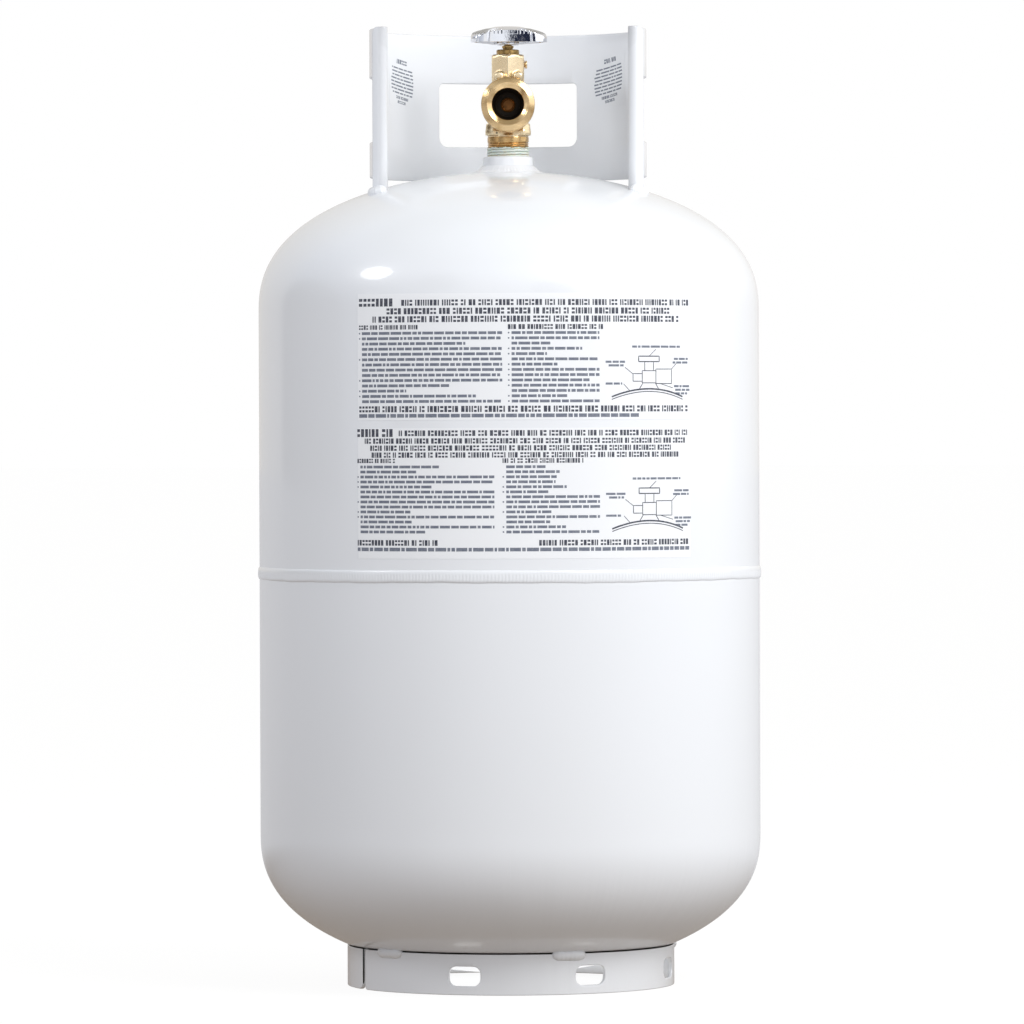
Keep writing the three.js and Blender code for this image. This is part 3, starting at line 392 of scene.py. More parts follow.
def set_inputs(tree, shader, **values):
    for key, value in values.items():
        socket = shader.inputs[key.replace("_", " ")]
        if isinstance(value, bpy.types.NodeSocket):
            tree.links.new(value, socket)
        else:
            socket.default_value = value


def here(tree):
    """Object coordinates, in metres."""
    return tree.nodes.new("ShaderNodeTexCoord").outputs["Object"]


def maths(tree, operation, a, b=0.0, c=0.0):
    return node(tree, "ShaderNodeMath", {0: a, 1: b, 2: c}, operation=operation)


def vector_maths(tree, operation, first, second=(0, 0, 0)):
    """A number from vectors: a length, a distance or a dot product."""
    made = tree.nodes.new("ShaderNodeVectorMath")
    made.operation = operation
    tree.links.new(first, made.inputs[0])
    made.inputs[1].default_value = second
    return made.outputs["Value"]


def pointiness(tree):
    """About 0.5 on flat surfaces, more on edges and less in hollows."""
    return tree.nodes.new("ShaderNodeNewGeometry").outputs["Pointiness"]


def noise(tree, size_mm, detail=2.0, vector=None):
    """Smooth noise from 0 to 1 whose features are about size_mm across."""
    inputs = {"Scale": 1 / (size_mm * MM), "Detail": detail, "Vector": vector or here(tree)}
    return node(tree, "ShaderNodeTexNoise", inputs)


def between(tree, value, low_in, high_in, low_out, high_out):
    inputs = {0: value, 1: low_in, 2: high_in, 3: low_out, 4: high_out}
    return node(tree, "ShaderNodeMapRange", inputs)


def blended(tree, share, first, second):
    """A colour that goes from first to second as share goes from 0 to 1."""
    made = tree.nodes.new("ShaderNodeMix")
    made.data_type = "RGBA"
    for index, value in ((0, share), (6, first), (7, second)):
        if isinstance(value, bpy.types.NodeSocket):
            tree.links.new(value, made.inputs[index])
        else:
            made.inputs[index].default_value = value if index == 0 else (*value, 1)
    return made.outputs[2]


def bump(tree, height, depth_mm, under=None):
    """A normal raised by up to a depth, on top of another normal if there is one under it."""
    inputs = {"Height": height, "Distance": depth_mm * MM, "Strength": 1.0}
    if under:
        inputs["Normal"] = under
    return node(tree, "ShaderNodeBump", inputs)


def axes(tree, vector):
    made = tree.nodes.new("ShaderNodeSeparateXYZ")
    tree.links.new(vector, made.inputs[0])
    return made.outputs


def polar(tree, height_scale):
    """Coordinates that unroll the vessel: metres round its girth, and a scaled height."""
    x, y, z = axes(tree, here(tree))
    round_girth = maths(tree, "MULTIPLY", maths(tree, "ARCTAN2", x, y), VESSEL_R * MM)
    height = maths(tree, "MULTIPLY", z, height_scale)
    return node(tree, "ShaderNodeCombineXYZ", {0: round_girth, 1: height})


def specks(tree, spacing_mm, radius_mm, share):
    """A mask that is 1 on scattered round specks, one in a share of the cells."""
    made = tree.nodes.new("ShaderNodeTexVoronoi")
    made.inputs["Scale"].default_value = 1000 / spacing_mm
    tree.links.new(here(tree), made.inputs["Vector"])
    near = maths(tree, "LESS_THAN", made.outputs["Distance"], radius_mm / spacing_mm)
    red = axes(tree, made.outputs["Color"])[0]
    return maths(tree, "MULTIPLY", near, maths(tree, "LESS_THAN", red, share))


def gap_shade_mask(tree, centre, reach, low_z, high_z):
    """1 within reach of an upright line, between two heights: where near-black painted shade stands for the
    shadow in a gap between parts.
    """
    x, y, z = axes(tree, here(tree))
    across = maths(tree, "SUBTRACT", x, centre[0] * MM)
    deep = maths(tree, "SUBTRACT", y, centre[1] * MM)
    offset = node(tree, "ShaderNodeCombineXYZ", {0: across, 1: deep})
    distance = vector_maths(tree, "LENGTH", offset)
    ragged = maths(tree, "MULTIPLY_ADD", noise(tree, 7, 3), 0.4 * MM, distance)
    inside = between(tree, ragged, (reach + 0.3) * MM, (reach + 0.1) * MM, 0, 1)
    above = between(tree, z, low_z * MM, (low_z + 0.15) * MM, 0, 1)
    below = between(tree, z, high_z * MM, (high_z - 0.15) * MM, 0, 1)
    return maths(tree, "MULTIPLY", inside, maths(tree, "MULTIPLY", above, below))


def powder_coat(name, tint, gloss, painted_gap_shades=(), painted_edge_shade=False):
    """White powder coat: orange peel, faint draw marks at the knuckles of the heads, a few specks; where
    asked, painted shade greys the sheet's edges and darkens the gap between parts.
    """
    material, tree, shader = new_material(name)
    patches = blended(tree, noise(tree, 120, 2), [c * 0.985 for c in tint], tint)
    dirt = specks(tree, 34, 0.45, 0.05)
    colour = blended(tree, maths(tree, "MULTIPLY", dirt, 0.55), patches, (0.25, 0.24, 0.22))
    if painted_edge_shade:
        # Painted shade: grey along the sheet's sharp edges, standing in for the shadow that falls on them.
        thin = between(tree, pointiness(tree), 0.51, 0.56, 0, 0.55)
        colour = blended(tree, thin, colour, (0.36, 0.36, 0.37))
    for gap in painted_gap_shades:
        # Painted shade: near-black where each mask is 1, standing in for the shadow in that gap.
        colour = blended(tree, gap_shade_mask(tree, *gap), colour, (0.012, 0.01, 0.008))
    waves = bump(tree, noise(tree, 60, 1), 0.22)
    streaks = noise(tree, 16, 2, polar(tree, 0.12))
    height = axes(tree, here(tree))[2]
    knuckle = between(tree, height, (LOWER_TANGENT + 8) * MM, (LOWER_TANGENT - 30) * MM, 0, 1)
    draw_marks = bump(tree, maths(tree, "MULTIPLY", streaks, knuckle), 0.5, waves)
    peel = bump(tree, noise(tree, 2.6, 1), 0.014, draw_marks)
    set_inputs(tree, shader, Base_Color=colour, Roughness=gloss, Normal=peel)
    set_inputs(tree, shader, Coat_Weight=0.6, Coat_Roughness=0.05, Specular_IOR_Level=0.45)
    return material


def printed_film():
    """Clear-coated white ground of the printed panels, a little whiter than the paint."""
    material, tree, shader = new_material("printed_film")
    colour = blended(tree, noise(tree, 30, 2), (0.86, 0.87, 0.89), (0.88, 0.89, 0.905))
    waves = bump(tree, noise(tree, 60, 1), 0.22)
    peel = bump(tree, noise(tree, 3.4, 1), 0.012, waves)
    rough = between(tree, noise(tree, 9, 2), 0.3, 0.7, 0.3, 0.36)
    set_inputs(tree, shader, Base_Color=colour, Roughness=rough, Normal=peel)
    return material


def print_ink(name, colour):
    """Screen ink with slightly starved patches."""
    material, tree, shader = new_material(name)
    starved = [c * 0.75 + 0.12 for c in colour]
    share = between(tree, noise(tree, 1.6, 3), 0.42, 0.75, 0, 1)
    ink = blended(tree, share, colour, starved)
    fleck = bump(tree, noise(tree, 0.5, 1), 0.01)
    set_inputs(tree, shader, Base_Color=ink, Roughness=0.42, Normal=fleck)
    return material


def forged_brass():
    """Blasted forging: pale gold, a fine grain, olive in its hollows and brighter where rubbed."""
    material, tree, shader = new_material("forged_brass")
    base = blended(tree, noise(tree, 9, 3), (0.74, 0.57, 0.34), (0.88, 0.72, 0.48))
    pointed = pointiness(tree)
    edge = between(tree, pointed, 0.5, 0.56, 0, 0.8)
    hollow = between(tree, pointed, 0.49, 0.42, 0, 0.85)
    rubbed = blended(tree, edge, base, (1.0, 0.88, 0.62))
    colour = blended(tree, hollow, rubbed, (0.16, 0.10, 0.03))
    rough = between(tree, noise(tree, 4, 3), 0.3, 0.7, 0.2, 0.36)
    lumps = bump(tree, noise(tree, 4, 2), 0.05)
    grain = bump(tree, noise(tree, 0.55, 2), 0.03, lumps)
    set_inputs(tree, shader, Base_Color=colour, Metallic=1.0, Roughness=rough, Normal=grain)
    return material


def turning_marks(tree, across, pitch_mm):
    """Fine tool marks, as waves along one coordinate with a little wander."""
    wander = maths(tree, "MULTIPLY", noise(tree, 6, 2), 2.5)
    phase = maths(tree, "MULTIPLY", across, TURN / (pitch_mm * MM))
    return maths(tree, "SINE", maths(tree, "ADD", phase, wander))


def machined_brass(name, axis, light=(0.78, 0.56, 0.30), stained=(0.48, 0.29, 0.10)):
    """Turned brass; axis is 'X', 'Y' or 'Z', the line that the piece was turned about."""
    material, tree, shader = new_material(name)
    outputs = axes(tree, here(tree))
    heights = {"X": BLEEDER_Z, "Y": OUTLET_Z}
    along = outputs["XYZ".index(axis)]
    across = [outputs[i] for i in range(3) if "XYZ"[i] != axis]
    if axis in heights:
        across[1] = maths(tree, "SUBTRACT", across[1], heights[axis] * MM)
    flat = node(tree, "ShaderNodeCombineXYZ", {0: across[0], 1: across[1]})
    spiral = maths(tree, "ADD", vector_maths(tree, "LENGTH", flat), along)
    marks = turning_marks(tree, spiral, 0.42)
    stain = between(tree, noise(tree, 7, 3), 0.45, 0.75, 0, 0.75)
    base = blended(tree, stain, light, stained)
    pointed = pointiness(tree)
    hollow = between(tree, pointed, 0.49, 0.43, 0, 0.85)
    colour = blended(tree, hollow, base, (0.14, 0.075, 0.02))
    rough = between(tree, noise(tree, 3, 2), 0.3, 0.7, 0.12, 0.24)
    cut = bump(tree, marks, 0.006)
    set_inputs(tree, shader, Base_Color=colour, Metallic=1.0, Roughness=rough, Normal=cut)
    return material


def chrome():
    material, tree, shader = new_material("chrome_plate")
    haze = between(tree, noise(tree, 5, 3), 0.4, 0.8, 0.05, 0.16)
    tint = blended(tree, noise(tree, 12, 2), (0.72, 0.73, 0.76), (0.80, 0.80, 0.82))
    dents = bump(tree, noise(tree, 5, 2), 0.07)
    pits = bump(tree, noise(tree, 0.9, 1), 0.012, dents)
    set_inputs(tree, shader, Base_Color=tint, Metallic=1.0, Roughness=haze, Normal=pits)
    return material


def plated_steel():
    """Zinc-plated steel, faintly mottled."""
    material, tree, shader = new_material("plated_steel")
    colour = blended(tree, noise(tree, 2.5, 3), (0.42, 0.43, 0.45), (0.62, 0.63, 0.66))
    rough = between(tree, noise(tree, 1.5, 2), 0.3, 0.7, 0.24, 0.42)
    scratches = bump(tree, noise(tree, 0.7, 3), 0.02)
    set_inputs(tree, shader, Base_Color=colour, Metallic=1.0, Roughness=rough, Normal=scratches)
    return material


def moulded(name, dark, light, gloss, grain_mm, shine=0.5):
    """Rubber or plastic: two close tones, a moulded grain and a satin finish."""
    material, tree, shader = new_material(name)
    colour = blended(tree, noise(tree, grain_mm * 6, 3), dark, light)
    rough = between(tree, noise(tree, grain_mm * 3, 2), 0.3, 0.7, gloss * 0.85, gloss * 1.15)
    grain = bump(tree, noise(tree, grain_mm, 2), grain_mm * 0.08)
    set_inputs(tree, shader, Base_Color=colour, Roughness=rough, Normal=grain, Specular_IOR_Level=shine)
    return material


def sealing_tape():
    """Wound sealing tape: greenish white, wrinkled along its winding, dark between its turns where the
    thread shows through, and dark along its foot at the boss as painted shadow.
    """
    material, tree, shader = new_material("thread_tape")
    x, y, z = axes(tree, here(tree))
    stretched = node(tree, "ShaderNodeCombineXYZ", {0: x, 1: y, 2: maths(tree, "MULTIPLY", z, 7)})
    flat = node(tree, "ShaderNodeCombineXYZ", {0: x, 1: y})
    folds = noise(tree, 5, 3, stretched)
    thin = between(tree, noise(tree, 3, 2, stretched), 0.60, 0.70, 0, 0.6)
    white = blended(tree, folds, (0.56, 0.64, 0.58), (0.84, 0.88, 0.82))
    patched = blended(tree, thin, white, (0.62, 0.56, 0.3))
    # Dark wherever the tape lies low: between its turns this is the thread showing through; along its foot
    # at the boss it is painted shadow.
    valley = between(tree, vector_maths(tree, "LENGTH", flat), 12.95 * MM, 12.75 * MM, 0, 0.9)
    colour = blended(tree, valley, patched, (0.14, 0.15, 0.10))
    wrinkles = bump(tree, folds, 0.25)
    set_inputs(tree, shader, Base_Color=colour, Roughness=0.5, Normal=wrinkles)
    set_inputs(tree, shader, Subsurface_Weight=0.15, Subsurface_Scale=0.4 * MM)
    return material


WHITE = (0.82, 0.835, 0.86)
PAINT = powder_coat("white_paint", WHITE, 0.3)
# Painted shade: on the head just inside the ring, on the ring's top edge and at the ring's joint, standing
# in for the shadow between head and ring and in the joint.
HEAD_GAP_SHADE = ((0, 0), FOOT_R + 0.25, FOOT_HEIGHT - 6, FOOT_HEIGHT + 5)
RING_TOP_SHADE = ((0, 0), FOOT_R + 3, FOOT_TOP - 0.3, FOOT_TOP + 2)
RING_JOINT_AZIMUTH = math.radians(FOOT_GAP_AZIMUTH)
RING_JOINT = (FOOT_R * math.sin(RING_JOINT_AZIMUTH), -FOOT_R * math.cos(RING_JOINT_AZIMUTH))
HEAD_PAINT = powder_coat("white_paint_head", WHITE, 0.3, [HEAD_GAP_SHADE])
RING_GAP_SHADES = [RING_TOP_SHADE, (RING_JOINT, 1.9, -1, FOOT_TOP + 2)]
RING_PAINT = powder_coat("white_paint_ring", WHITE, 0.3, RING_GAP_SHADES, True)
SHEET_PAINT = powder_coat("white_paint_sheet", WHITE, 0.3, (), True)
FILM = printed_film()
DARK_INK = print_ink("print_ink_dark", (0.035, 0.04, 0.065))
PALE_INK = print_ink("print_ink_pale", (0.15, 0.17, 0.22))
FORGED = forged_brass()
TURNED_Y = machined_brass("turned_brass_y", "Y")
TURNED_Z = machined_brass("turned_brass_z", "Z")
TURNED_X = machined_brass("turned_brass_x", "X")
SHANK_BRASS = machined_brass("shank_brass", "Z", (0.66, 0.44, 0.20), (0.36, 0.17, 0.04))
# A darker brass, for the gland nut and the stem under the handwheel.
DARK_BRASS_Z = machined_brass("dark_brass_z", "Z", (0.40, 0.26, 0.10), (0.16, 0.08, 0.02))
# Painted shade: brass darkened for the check plunger, standing in for the shade deep in the outlet's bore.
SHADED_BRASS_Y = machined_brass("shaded_brass_y", "Y", (0.11, 0.045, 0.015), (0.04, 0.015, 0.006))
CHROME = chrome()
STEEL = plated_steel()
RUBBER = moulded("black_rubber", (0.004, 0.003, 0.002), (0.014, 0.01, 0.007), 0.55, 0.8, 0.12)
NYLON = moulded("nylon", (0.58, 0.56, 0.48), (0.68, 0.66, 0.58), 0.45, 0.9)
FLOAT_FOAM = moulded("float_plastic", (0.025, 0.028, 0.032), (0.05, 0.055, 0.06), 0.5, 1.2)
TAPE = sealing_tape()


# ---- Pressure vessel ----

def head_radius(height):
    """The radius of the vessel's outer surface at a height above a head's tangent line."""
    if height <= 0:
        return VESSEL_R
    sine = (height / HEAD_DEPTH) ** (HEAD_POWER / 2)
    return VESSEL_R * math.sqrt(max(0, 1 - sine * sine))


def crown_height(radius):
    """The height of the upper head's outer surface at a distance from the axis."""
    sine = math.sqrt(1 - (radius / VESSEL_R) ** 2)
    return UPPER_TANGENT + HEAD_DEPTH * sine ** (2 / HEAD_POWER)


def head_curve(radius, depth, hole=0.0):
    steps = 40
    last = math.acos(hole / radius)
    angles = [last * i / steps for i in range(steps + 1)]
    return [(radius * math.cos(a), depth * math.sin(a) ** (2 / HEAD_POWER)) for a in angles]


def upper_vessel():
    edge = SEAM_Z + 1
    inner = VESSEL_R - WALL
    outside = [(r, UPPER_TANGENT + h) for r, h in head_curve(VESSEL_R, HEAD_DEPTH, NECK_R)]
    inside = [(r, UPPER_TANGENT + h) for r, h in head_curve(inner, HEAD_DEPTH - WALL, NECK_R)]
    return revolve([(inner, edge), (VESSEL_R, edge), *outside, *reversed(inside)], 240)


def lower_vessel():
    """The lower half, whose rim is joggled inwards to go under the upper half."""
    inner = VESSEL_R - WALL
    lap = inner - 0.3
    lap_top = SEAM_Z + 12
    outside = [(r, LOWER_TANGENT - h) for r, h in head_curve(VESSEL_R, HEAD_DEPTH)]
    inside = [(r, LOWER_TANGENT - h) for r, h in head_curve(inner, HEAD_DEPTH - WALL)]
    rim = [(VESSEL_R, SEAM_Z - 1), (lap, SEAM_Z), (lap, lap_top), (lap - WALL, lap_top)]
    rim += [(lap - WALL, SEAM_Z - 2), (inner, SEAM_Z - 6)]
    return revolve([*reversed(outside), *rim, *inside], 240)


def wander(azimuth, seed):
    """A slow, closed wobble between about -1 and 1 round a full turn."""
    waves = ((5, 0.40), (13, 0.27), (29, 0.20), (61, 0.13))
    total = 0
    for i, (count, share) in enumerate(waves, 1):
        total = total + share * np.sin(count * azimuth + seed * i)
    return total


def girth_bead():
    """The weld round the seam: a low crown whose lower half shows the ripples of the pool."""
    rows = 14
    buried = VESSEL_R - 0.6
    crown = BEAD_RISE - 0.14
    section = []
    for i in range(rows + 1):
        across = 2 * i / rows - 1
        rise = (crown + 0.1) * (1 - across ** 4) ** 0.7
        section.append((VESSEL_R - 0.1 + rise, SEAM_Z + BEAD_HALF * across))
    section += [(buried, SEAM_Z + BEAD_HALF), (buried, SEAM_Z - BEAD_HALF)]
    ripples = 460

    def bend(radius, height, azimuth):
        across = (height - SEAM_Z) / BEAD_HALF
        outer = radius > VESSEL_R - 0.05
        fade = np.clip(1 - across ** 2, 0, 1) * np.where(across < 0.2, 1.0, 0.35)
        pool = np.sin(ripples * azimuth + 2.6 * across ** 2 + 1.5 * wander(azimuth, 2))
        rise = 0.09 * pool * fade * (1 + 0.5 * wander(3 * azimuth, 1)) + 0.05 * wander(7 * azimuth, 4) * fade
        drift = np.where(across < 0, 0.5, 0.22) * wander(azimuth, 3) * np.abs(across)
        top = VESSEL_R + BEAD_RISE - 0.01
        return np.where(outer, np.minimum(radius + rise, top), radius), height + drift

    return revolve(section, 2400, bend)


def boss():
    bore = 13.5
    foot = BOSS_TOP - 18
    outline = rounded([
        (bore, foot, 0.4),
        (BOSS_R - 0.1, foot, 0.6),
        (BOSS_R - 0.1, BOSS_TOP - 5.5, 3),
        (BOSS_R - 0.6, BOSS_TOP, 1.3),
        (bore, BOSS_TOP, 0.5),
    ])
    return revolve(outline, 128)


def boss_weld():
    """The concave fillet round the boss, with the ripples of a weld under the paint."""
    crown = VESSEL_TOP
    outline = rounded([
        (BOSS_R - 0.4, crown - 1.5),
        (WELD_R - 0.4, crown - 1.4),
        (WELD_R - 0.3, crown - 0.75),
        (BOSS_R + 3.4, crown + 0.3, 4),
        (BOSS_R + 0.8, crown + 3.1, 1.2),
        (BOSS_R - 0.4, crown + 4.0),
    ], 8)

    def bend(radius, height, azimuth):
        share = np.clip((radius - BOSS_R) / (WELD_R - BOSS_R), 0, 1)
        middle_share = share * (1 - share) * 4
        pool = np.sin(58 * azimuth + 5 * share)
        outside = height > crown - 0.9
        rise = (0.04 * pool + 0.25 * wander(2 * azimuth, 5)) * middle_share
        spread = 0.3 * wander(2 * azimuth, 6) * share ** 2
        widened = np.where(outside, radius + np.minimum(spread, 0.25), radius)
        return widened, height + np.where(outside, rise, 0)

    return revolve(outline, 360, bend)


# ---- Bent sheet: the guard collar and the foot ring ----

def plate(outline, holes, sheet, edge, strip):
    """A flat sheet in the XY plane with rounded edges, cut into strips along X so that it can bend."""
    curve = bpy.data.curves.new("plate", "CURVE")
    curve.dimensions = "2D"
    curve.fill_mode = "BOTH"
    curve.extrude = sheet / 2 - edge
    curve.bevel_depth = edge
    curve.bevel_resolution = 2
    curve.offset = -edge
    for loop in (outline, *holes):
        spline = curve.splines.new("POLY")
        spline.points.add(len(loop) - 1)
        spline.use_cyclic_u = True
        for point, (x, y) in zip(spline.points, loop):
            point.co = (x, y, 0, 1)
    made = placed("plate", curve)
    graph = bpy.context.evaluated_depsgraph_get()
    mesh = bpy.data.meshes.new_from_object(made.evaluated_get(graph))
    bpy.data.objects.remove(made)
    work = bmesh.new()
    work.from_mesh(mesh)
    bmesh.ops.remove_doubles(work, verts=work.verts, dist=0.001)
    across = [x for x, y in outline]
    for i in range(int(min(across) / strip), int(max(across) / strip) + 1):
        everything = work.verts[:] + work.edges[:] + work.faces[:]
        plane = {"plane_co": (i * strip, 0, 0), "plane_no": (1, 0, 0)}
        bmesh.ops.bisect_plane(work, geom=everything, dist=0.001, **plane)
    work.to_mesh(mesh)
    work.free()
    return mesh


def bent(mesh, path):
    """Bends a flat sheet: path(x) gives the point of its mid-line and the way to its outer face."""
    for vertex in mesh.vertices:
        x, y, z = vertex.co
        point, out = path(x)
        vertex.co = (point.x + out.x * z, point.y + out.y * z, y)
    clean_mesh(mesh)
    return mesh


def at_azimuth(azimuth, radius=1.0):
    """A point in plan, from an azimuth in radians."""
    return Vector((radius * math.sin(azimuth), -radius * math.cos(azimuth)))


COLLAR_MID = COLLAR_R - COLLAR_SHEET / 2
WALL_RUN = COLLAR_MID * math.radians(180 - COLLAR_END_AZIMUTH)
BEND_TURN = math.radians(180 - COLLAR_END_AZIMUTH + LIP_SWEEP)
BEND_RUN = COLLAR_BEND_R * BEND_TURN
BEND_CENTRE = at_azimuth(math.radians(COLLAR_END_AZIMUTH), COLLAR_MID + COLLAR_BEND_R)
LIP_FRONT = COLLAR_BEND_R + COLLAR_SHEET / 2 - BEND_CENTRE.y
SWEEP = math.radians(LIP_SWEEP)
LIP_DIRECTION = Vector((math.cos(SWEEP), math.sin(SWEEP)))
LIP_START = BEND_CENTRE + COLLAR_BEND_R * Vector((math.sin(SWEEP), -math.cos(SWEEP)))
LIP_RUN = WALL_RUN + BEND_RUN + (LIP_REACH - LIP_START.x) / LIP_DIRECTION.x


def collar_path(run):
    """The collar's mid-line in plan, by distance from the middle of its back: round the wall, back
    on itself round a tight bend, and straight along the swept-back lip."""
    side = 1 if run >= 0 else -1
    run = abs(run)
    if run <= WALL_RUN:
        out = at_azimuth(math.pi - run / COLLAR_MID)
        point = out * COLLAR_MID
    elif run <= WALL_RUN + BEND_RUN:
        turned = (run - WALL_RUN) / COLLAR_BEND_R
        inward = at_azimuth(math.radians(COLLAR_END_AZIMUTH) + turned)
        out = inward
        point = BEND_CENTRE - inward * COLLAR_BEND_R
    else:
        out = Vector((-LIP_DIRECTION.y, LIP_DIRECTION.x))
        point = LIP_START + LIP_DIRECTION * (run - WALL_RUN - BEND_RUN)
    return Vector((side * point.x, point.y)), Vector((side * out.x, out.y))


def crown_edge(start, end, count=9):
    """The foot of a leg, following the crown a little above it."""
    edge = []
    for i in range(count + 1):
        run = start + (end - start) * i / count
        radius = collar_path(run)[0].length
        edge.append((run, crown_height(radius) - 0.4))
    return edge


def window(centre, width, corner_low=6, corner_high=3):
    half = COLLAR_MID * math.asin(width / 2 / COLLAR_MID)
    return rounded([
        (centre - half, WINDOW_FOOT, corner_low),
        (centre + half, WINDOW_FOOT, corner_low),
        (centre + half, WINDOW_TOP, corner_high),
        (centre - half, WINDOW_TOP, corner_high),
    ])


def collar_sheet():
    """The collar cut flat, then bent: a wall with three windows, four legs and two lips."""

    def along(azimuth):
        return COLLAR_MID * math.radians(180 - azimuth)

    half_leg = REAR_LEG_WIDTH / 2 / COLLAR_R * COLLAR_MID
    rear_leg = along(REAR_LEG_AZIMUTH)
    front_leg = along(FRONT_LEG_AZIMUTH)
    fillet = LEG_FILLET
    right = [(rear_leg - half_leg, WALL_FOOT, fillet)]
    right += crown_edge(rear_leg - half_leg, rear_leg + half_leg)
    right += [(rear_leg + half_leg, WALL_FOOT, fillet), (front_leg, WALL_FOOT, fillet)]
    right += crown_edge(front_leg, LIP_RUN - 0.01)
    right += [(LIP_RUN, COLLAR_TOP, LIP_CORNER_R)]
    left = [(-corner[0], *corner[1:]) for corner in reversed(right)]
    side = along(SIDE_WINDOW_AZIMUTH)
    holes = [window(0, REAR_WINDOW_WIDTH), window(side, SIDE_WINDOW_WIDTH), window(-side, SIDE_WINDOW_WIDTH)]
    return bent(plate(rounded(right + left), holes, COLLAR_SHEET, 0.55, 1.5), collar_path)


def foot_ring():
    middle_r = FOOT_R - FOOT_SHEET / 2
    start = FOOT_GAP / 2
    end = TURN * middle_r - FOOT_GAP / 2
    outline = rounded([(start, 0, 2), (end, 0, 5), (end, FOOT_TOP, 1), (start, FOOT_TOP, 1)])
    slots = []
    for i in range(SLOT_COUNT):
        azimuth = (SLOT_FIRST_AZIMUTH + i * SLOT_PITCH - FOOT_GAP_AZIMUTH) % 360
        centre = middle_r * math.radians(azimuth)
        x, z = SLOT_LENGTH / 2, SLOT_HEIGHT / 2
        slots.append(rounded([
            (centre - x, SLOT_Z - z, SLOT_CORNER_R),
            (centre + x, SLOT_Z - z, SLOT_CORNER_R),
            (centre + x, SLOT_Z + z, SLOT_CORNER_R),
            (centre - x, SLOT_Z + z, SLOT_CORNER_R),
        ]))

    def path(run):
        out = at_azimuth(math.radians(FOOT_GAP_AZIMUTH) + run / middle_r)
        return out * middle_r, out

    return bent(plate(outline, slots, FOOT_SHEET, 0.5, 1.8), path)


# ---- Short weld beads ----

def weld_bead(path, size, ripples, seed):
    """A short bead along a path: rounded ends, a rippled crown and a slightly uneven width."""

    def radius(share):
        ends = (1 - abs(2 * share - 1) ** 4) ** 0.5
        pool = 1 + 0.02 * math.sin(TURN * ripples * share) + 0.05 * math.sin(7 * share + seed)
        return max(0.05, size * ends * pool)

    return tube(path, radius, 20)


def arc_path(radius, start, end, height, count=48):
    path = []
    for i in range(count + 1):
        point = at_azimuth(math.radians(start + (end - start) * i / count), radius)
        path.append((point.x, point.y, height))
    return path


def foot_weld(index):
    """A bead that bridges the ring's top edge and the lower head."""
    name = f"foot_ring_weld_{index}"
    centre = middle(name)
    azimuth = math.degrees(math.atan2(centre.x, -centre.y))
    half = 6.3
    path = arc_path(FOOT_R - 0.9, azimuth - half, azimuth + half, FOOT_HEIGHT - 0.3)
    return weld_bead(path, 3.6, 8, index)


def leg_weld(side):
    """A bead along the outside of a rear leg's foot."""
    half = math.degrees(REAR_LEG_WIDTH / 2 / COLLAR_R)
    centre = side * REAR_LEG_AZIMUTH
    radius = COLLAR_R + 0.2
    path = arc_path(radius, centre - half, centre + half, crown_height(radius) + 0.4)
    return weld_bead(path, 2.7, 9, side)


def lip_weld(side):
    """A bead along the front of a lip's foot, running out round its edge."""
    path = []
    count = 48
    inner, outer = 75, LIP_REACH + 2.2
    for i in range(count + 1):
        x = inner + (outer - inner) * i / count
        y = -LIP_FRONT + 0.6 + max(0, x - BEND_CENTRE.x - 1.5) * math.tan(SWEEP)
        path.append((side * x, y, crown_height(math.hypot(x, y)) + 0.2))
    return weld_bead(path, 4.0, 7, side)


def lip_edge_weld(side):
    """The bead goes on behind the lip, between its edge and the wall."""
    path = []
    count = 40
    for i in range(count + 1):
        y = -LIP_FRONT + 4 + 7 * i / count
        x = LIP_REACH + 0.2
        path.append((side * x, y, crown_height(math.hypot(x, y)) + 0.2))
    return weld_bead(path, 3.4, 7, side + 4)


# ---- Valve ----

def wheel_turned(extra=0):
    """The turn of the wheel, its stem and its spindle at rest, with some more degrees on top."""
    return Matrix.Rotation(math.radians(WHEEL_TURN + extra), 4, "Z")


def prism_reach(azimuth, flats, sides, turned=0.0):
    """How far a prism's surface is from its axis; one of its flats faces the azimuth turned."""
    step = TURN / sides
    from_flat = (azimuth - turned + step / 2) % step - step / 2
    return flats / 2 / np.cos(from_flat)


def wrench_base():
    width, depth, corner = 28.4, 24, 15.6
    outline = rounded([(0, 13), (corner, 13.3, 0.5), (corner, 20.4, 0.6), (13.6, 21.3, 0.5), (0, 21.3)])

    def bend(radius, height, azimuth):
        side = width / 2 / np.maximum(np.abs(np.sin(azimuth)), 1e-6)
        front = depth / 2 / np.maximum(np.abs(np.cos(azimuth)), 1e-6)
        limit = np.minimum(np.minimum(side, front), corner)
        step_in = np.where(height > 16.4, 0.55, 0)
        return np.where(radius > corner / 2, radius - corner + limit - step_in, radius), height

    heights = [(corner, 13.8 + 0.3 * i) for i in range(22)]
    cut = outline.index(max(outline[:6]))
    return revolve(outline[:cut + 1] + heights + outline[cut + 1:], 144, bend)


def hexagon():
    flats, foot = 20.2, 42
    corner = flats / math.sqrt(3)
    outline = [(0, foot), (corner, foot), (corner, HEX_TOP - 1.5), (flats / 2 - 0.2, HEX_TOP), (0, HEX_TOP)]

    def bend(radius, height, azimuth):
        limit = prism_reach(azimuth, flats, 6, TURN / 12)
        return np.minimum(radius, limit), height

    return revolve(outline, 144, bend)


def lug(x):
    """A round-ended peg that stands out towards the front above the outlet."""
    size, end, height = 3.1, 14.2, 49.9
    peg = revolve(rounded([(0, 4), (size, 4), (size, end, 1.9), (0, end)]), 48)
    return moved(peg, Matrix.Rotation(TURN / 4, 4, "X"), Matrix.Translation((x, 0, height)))


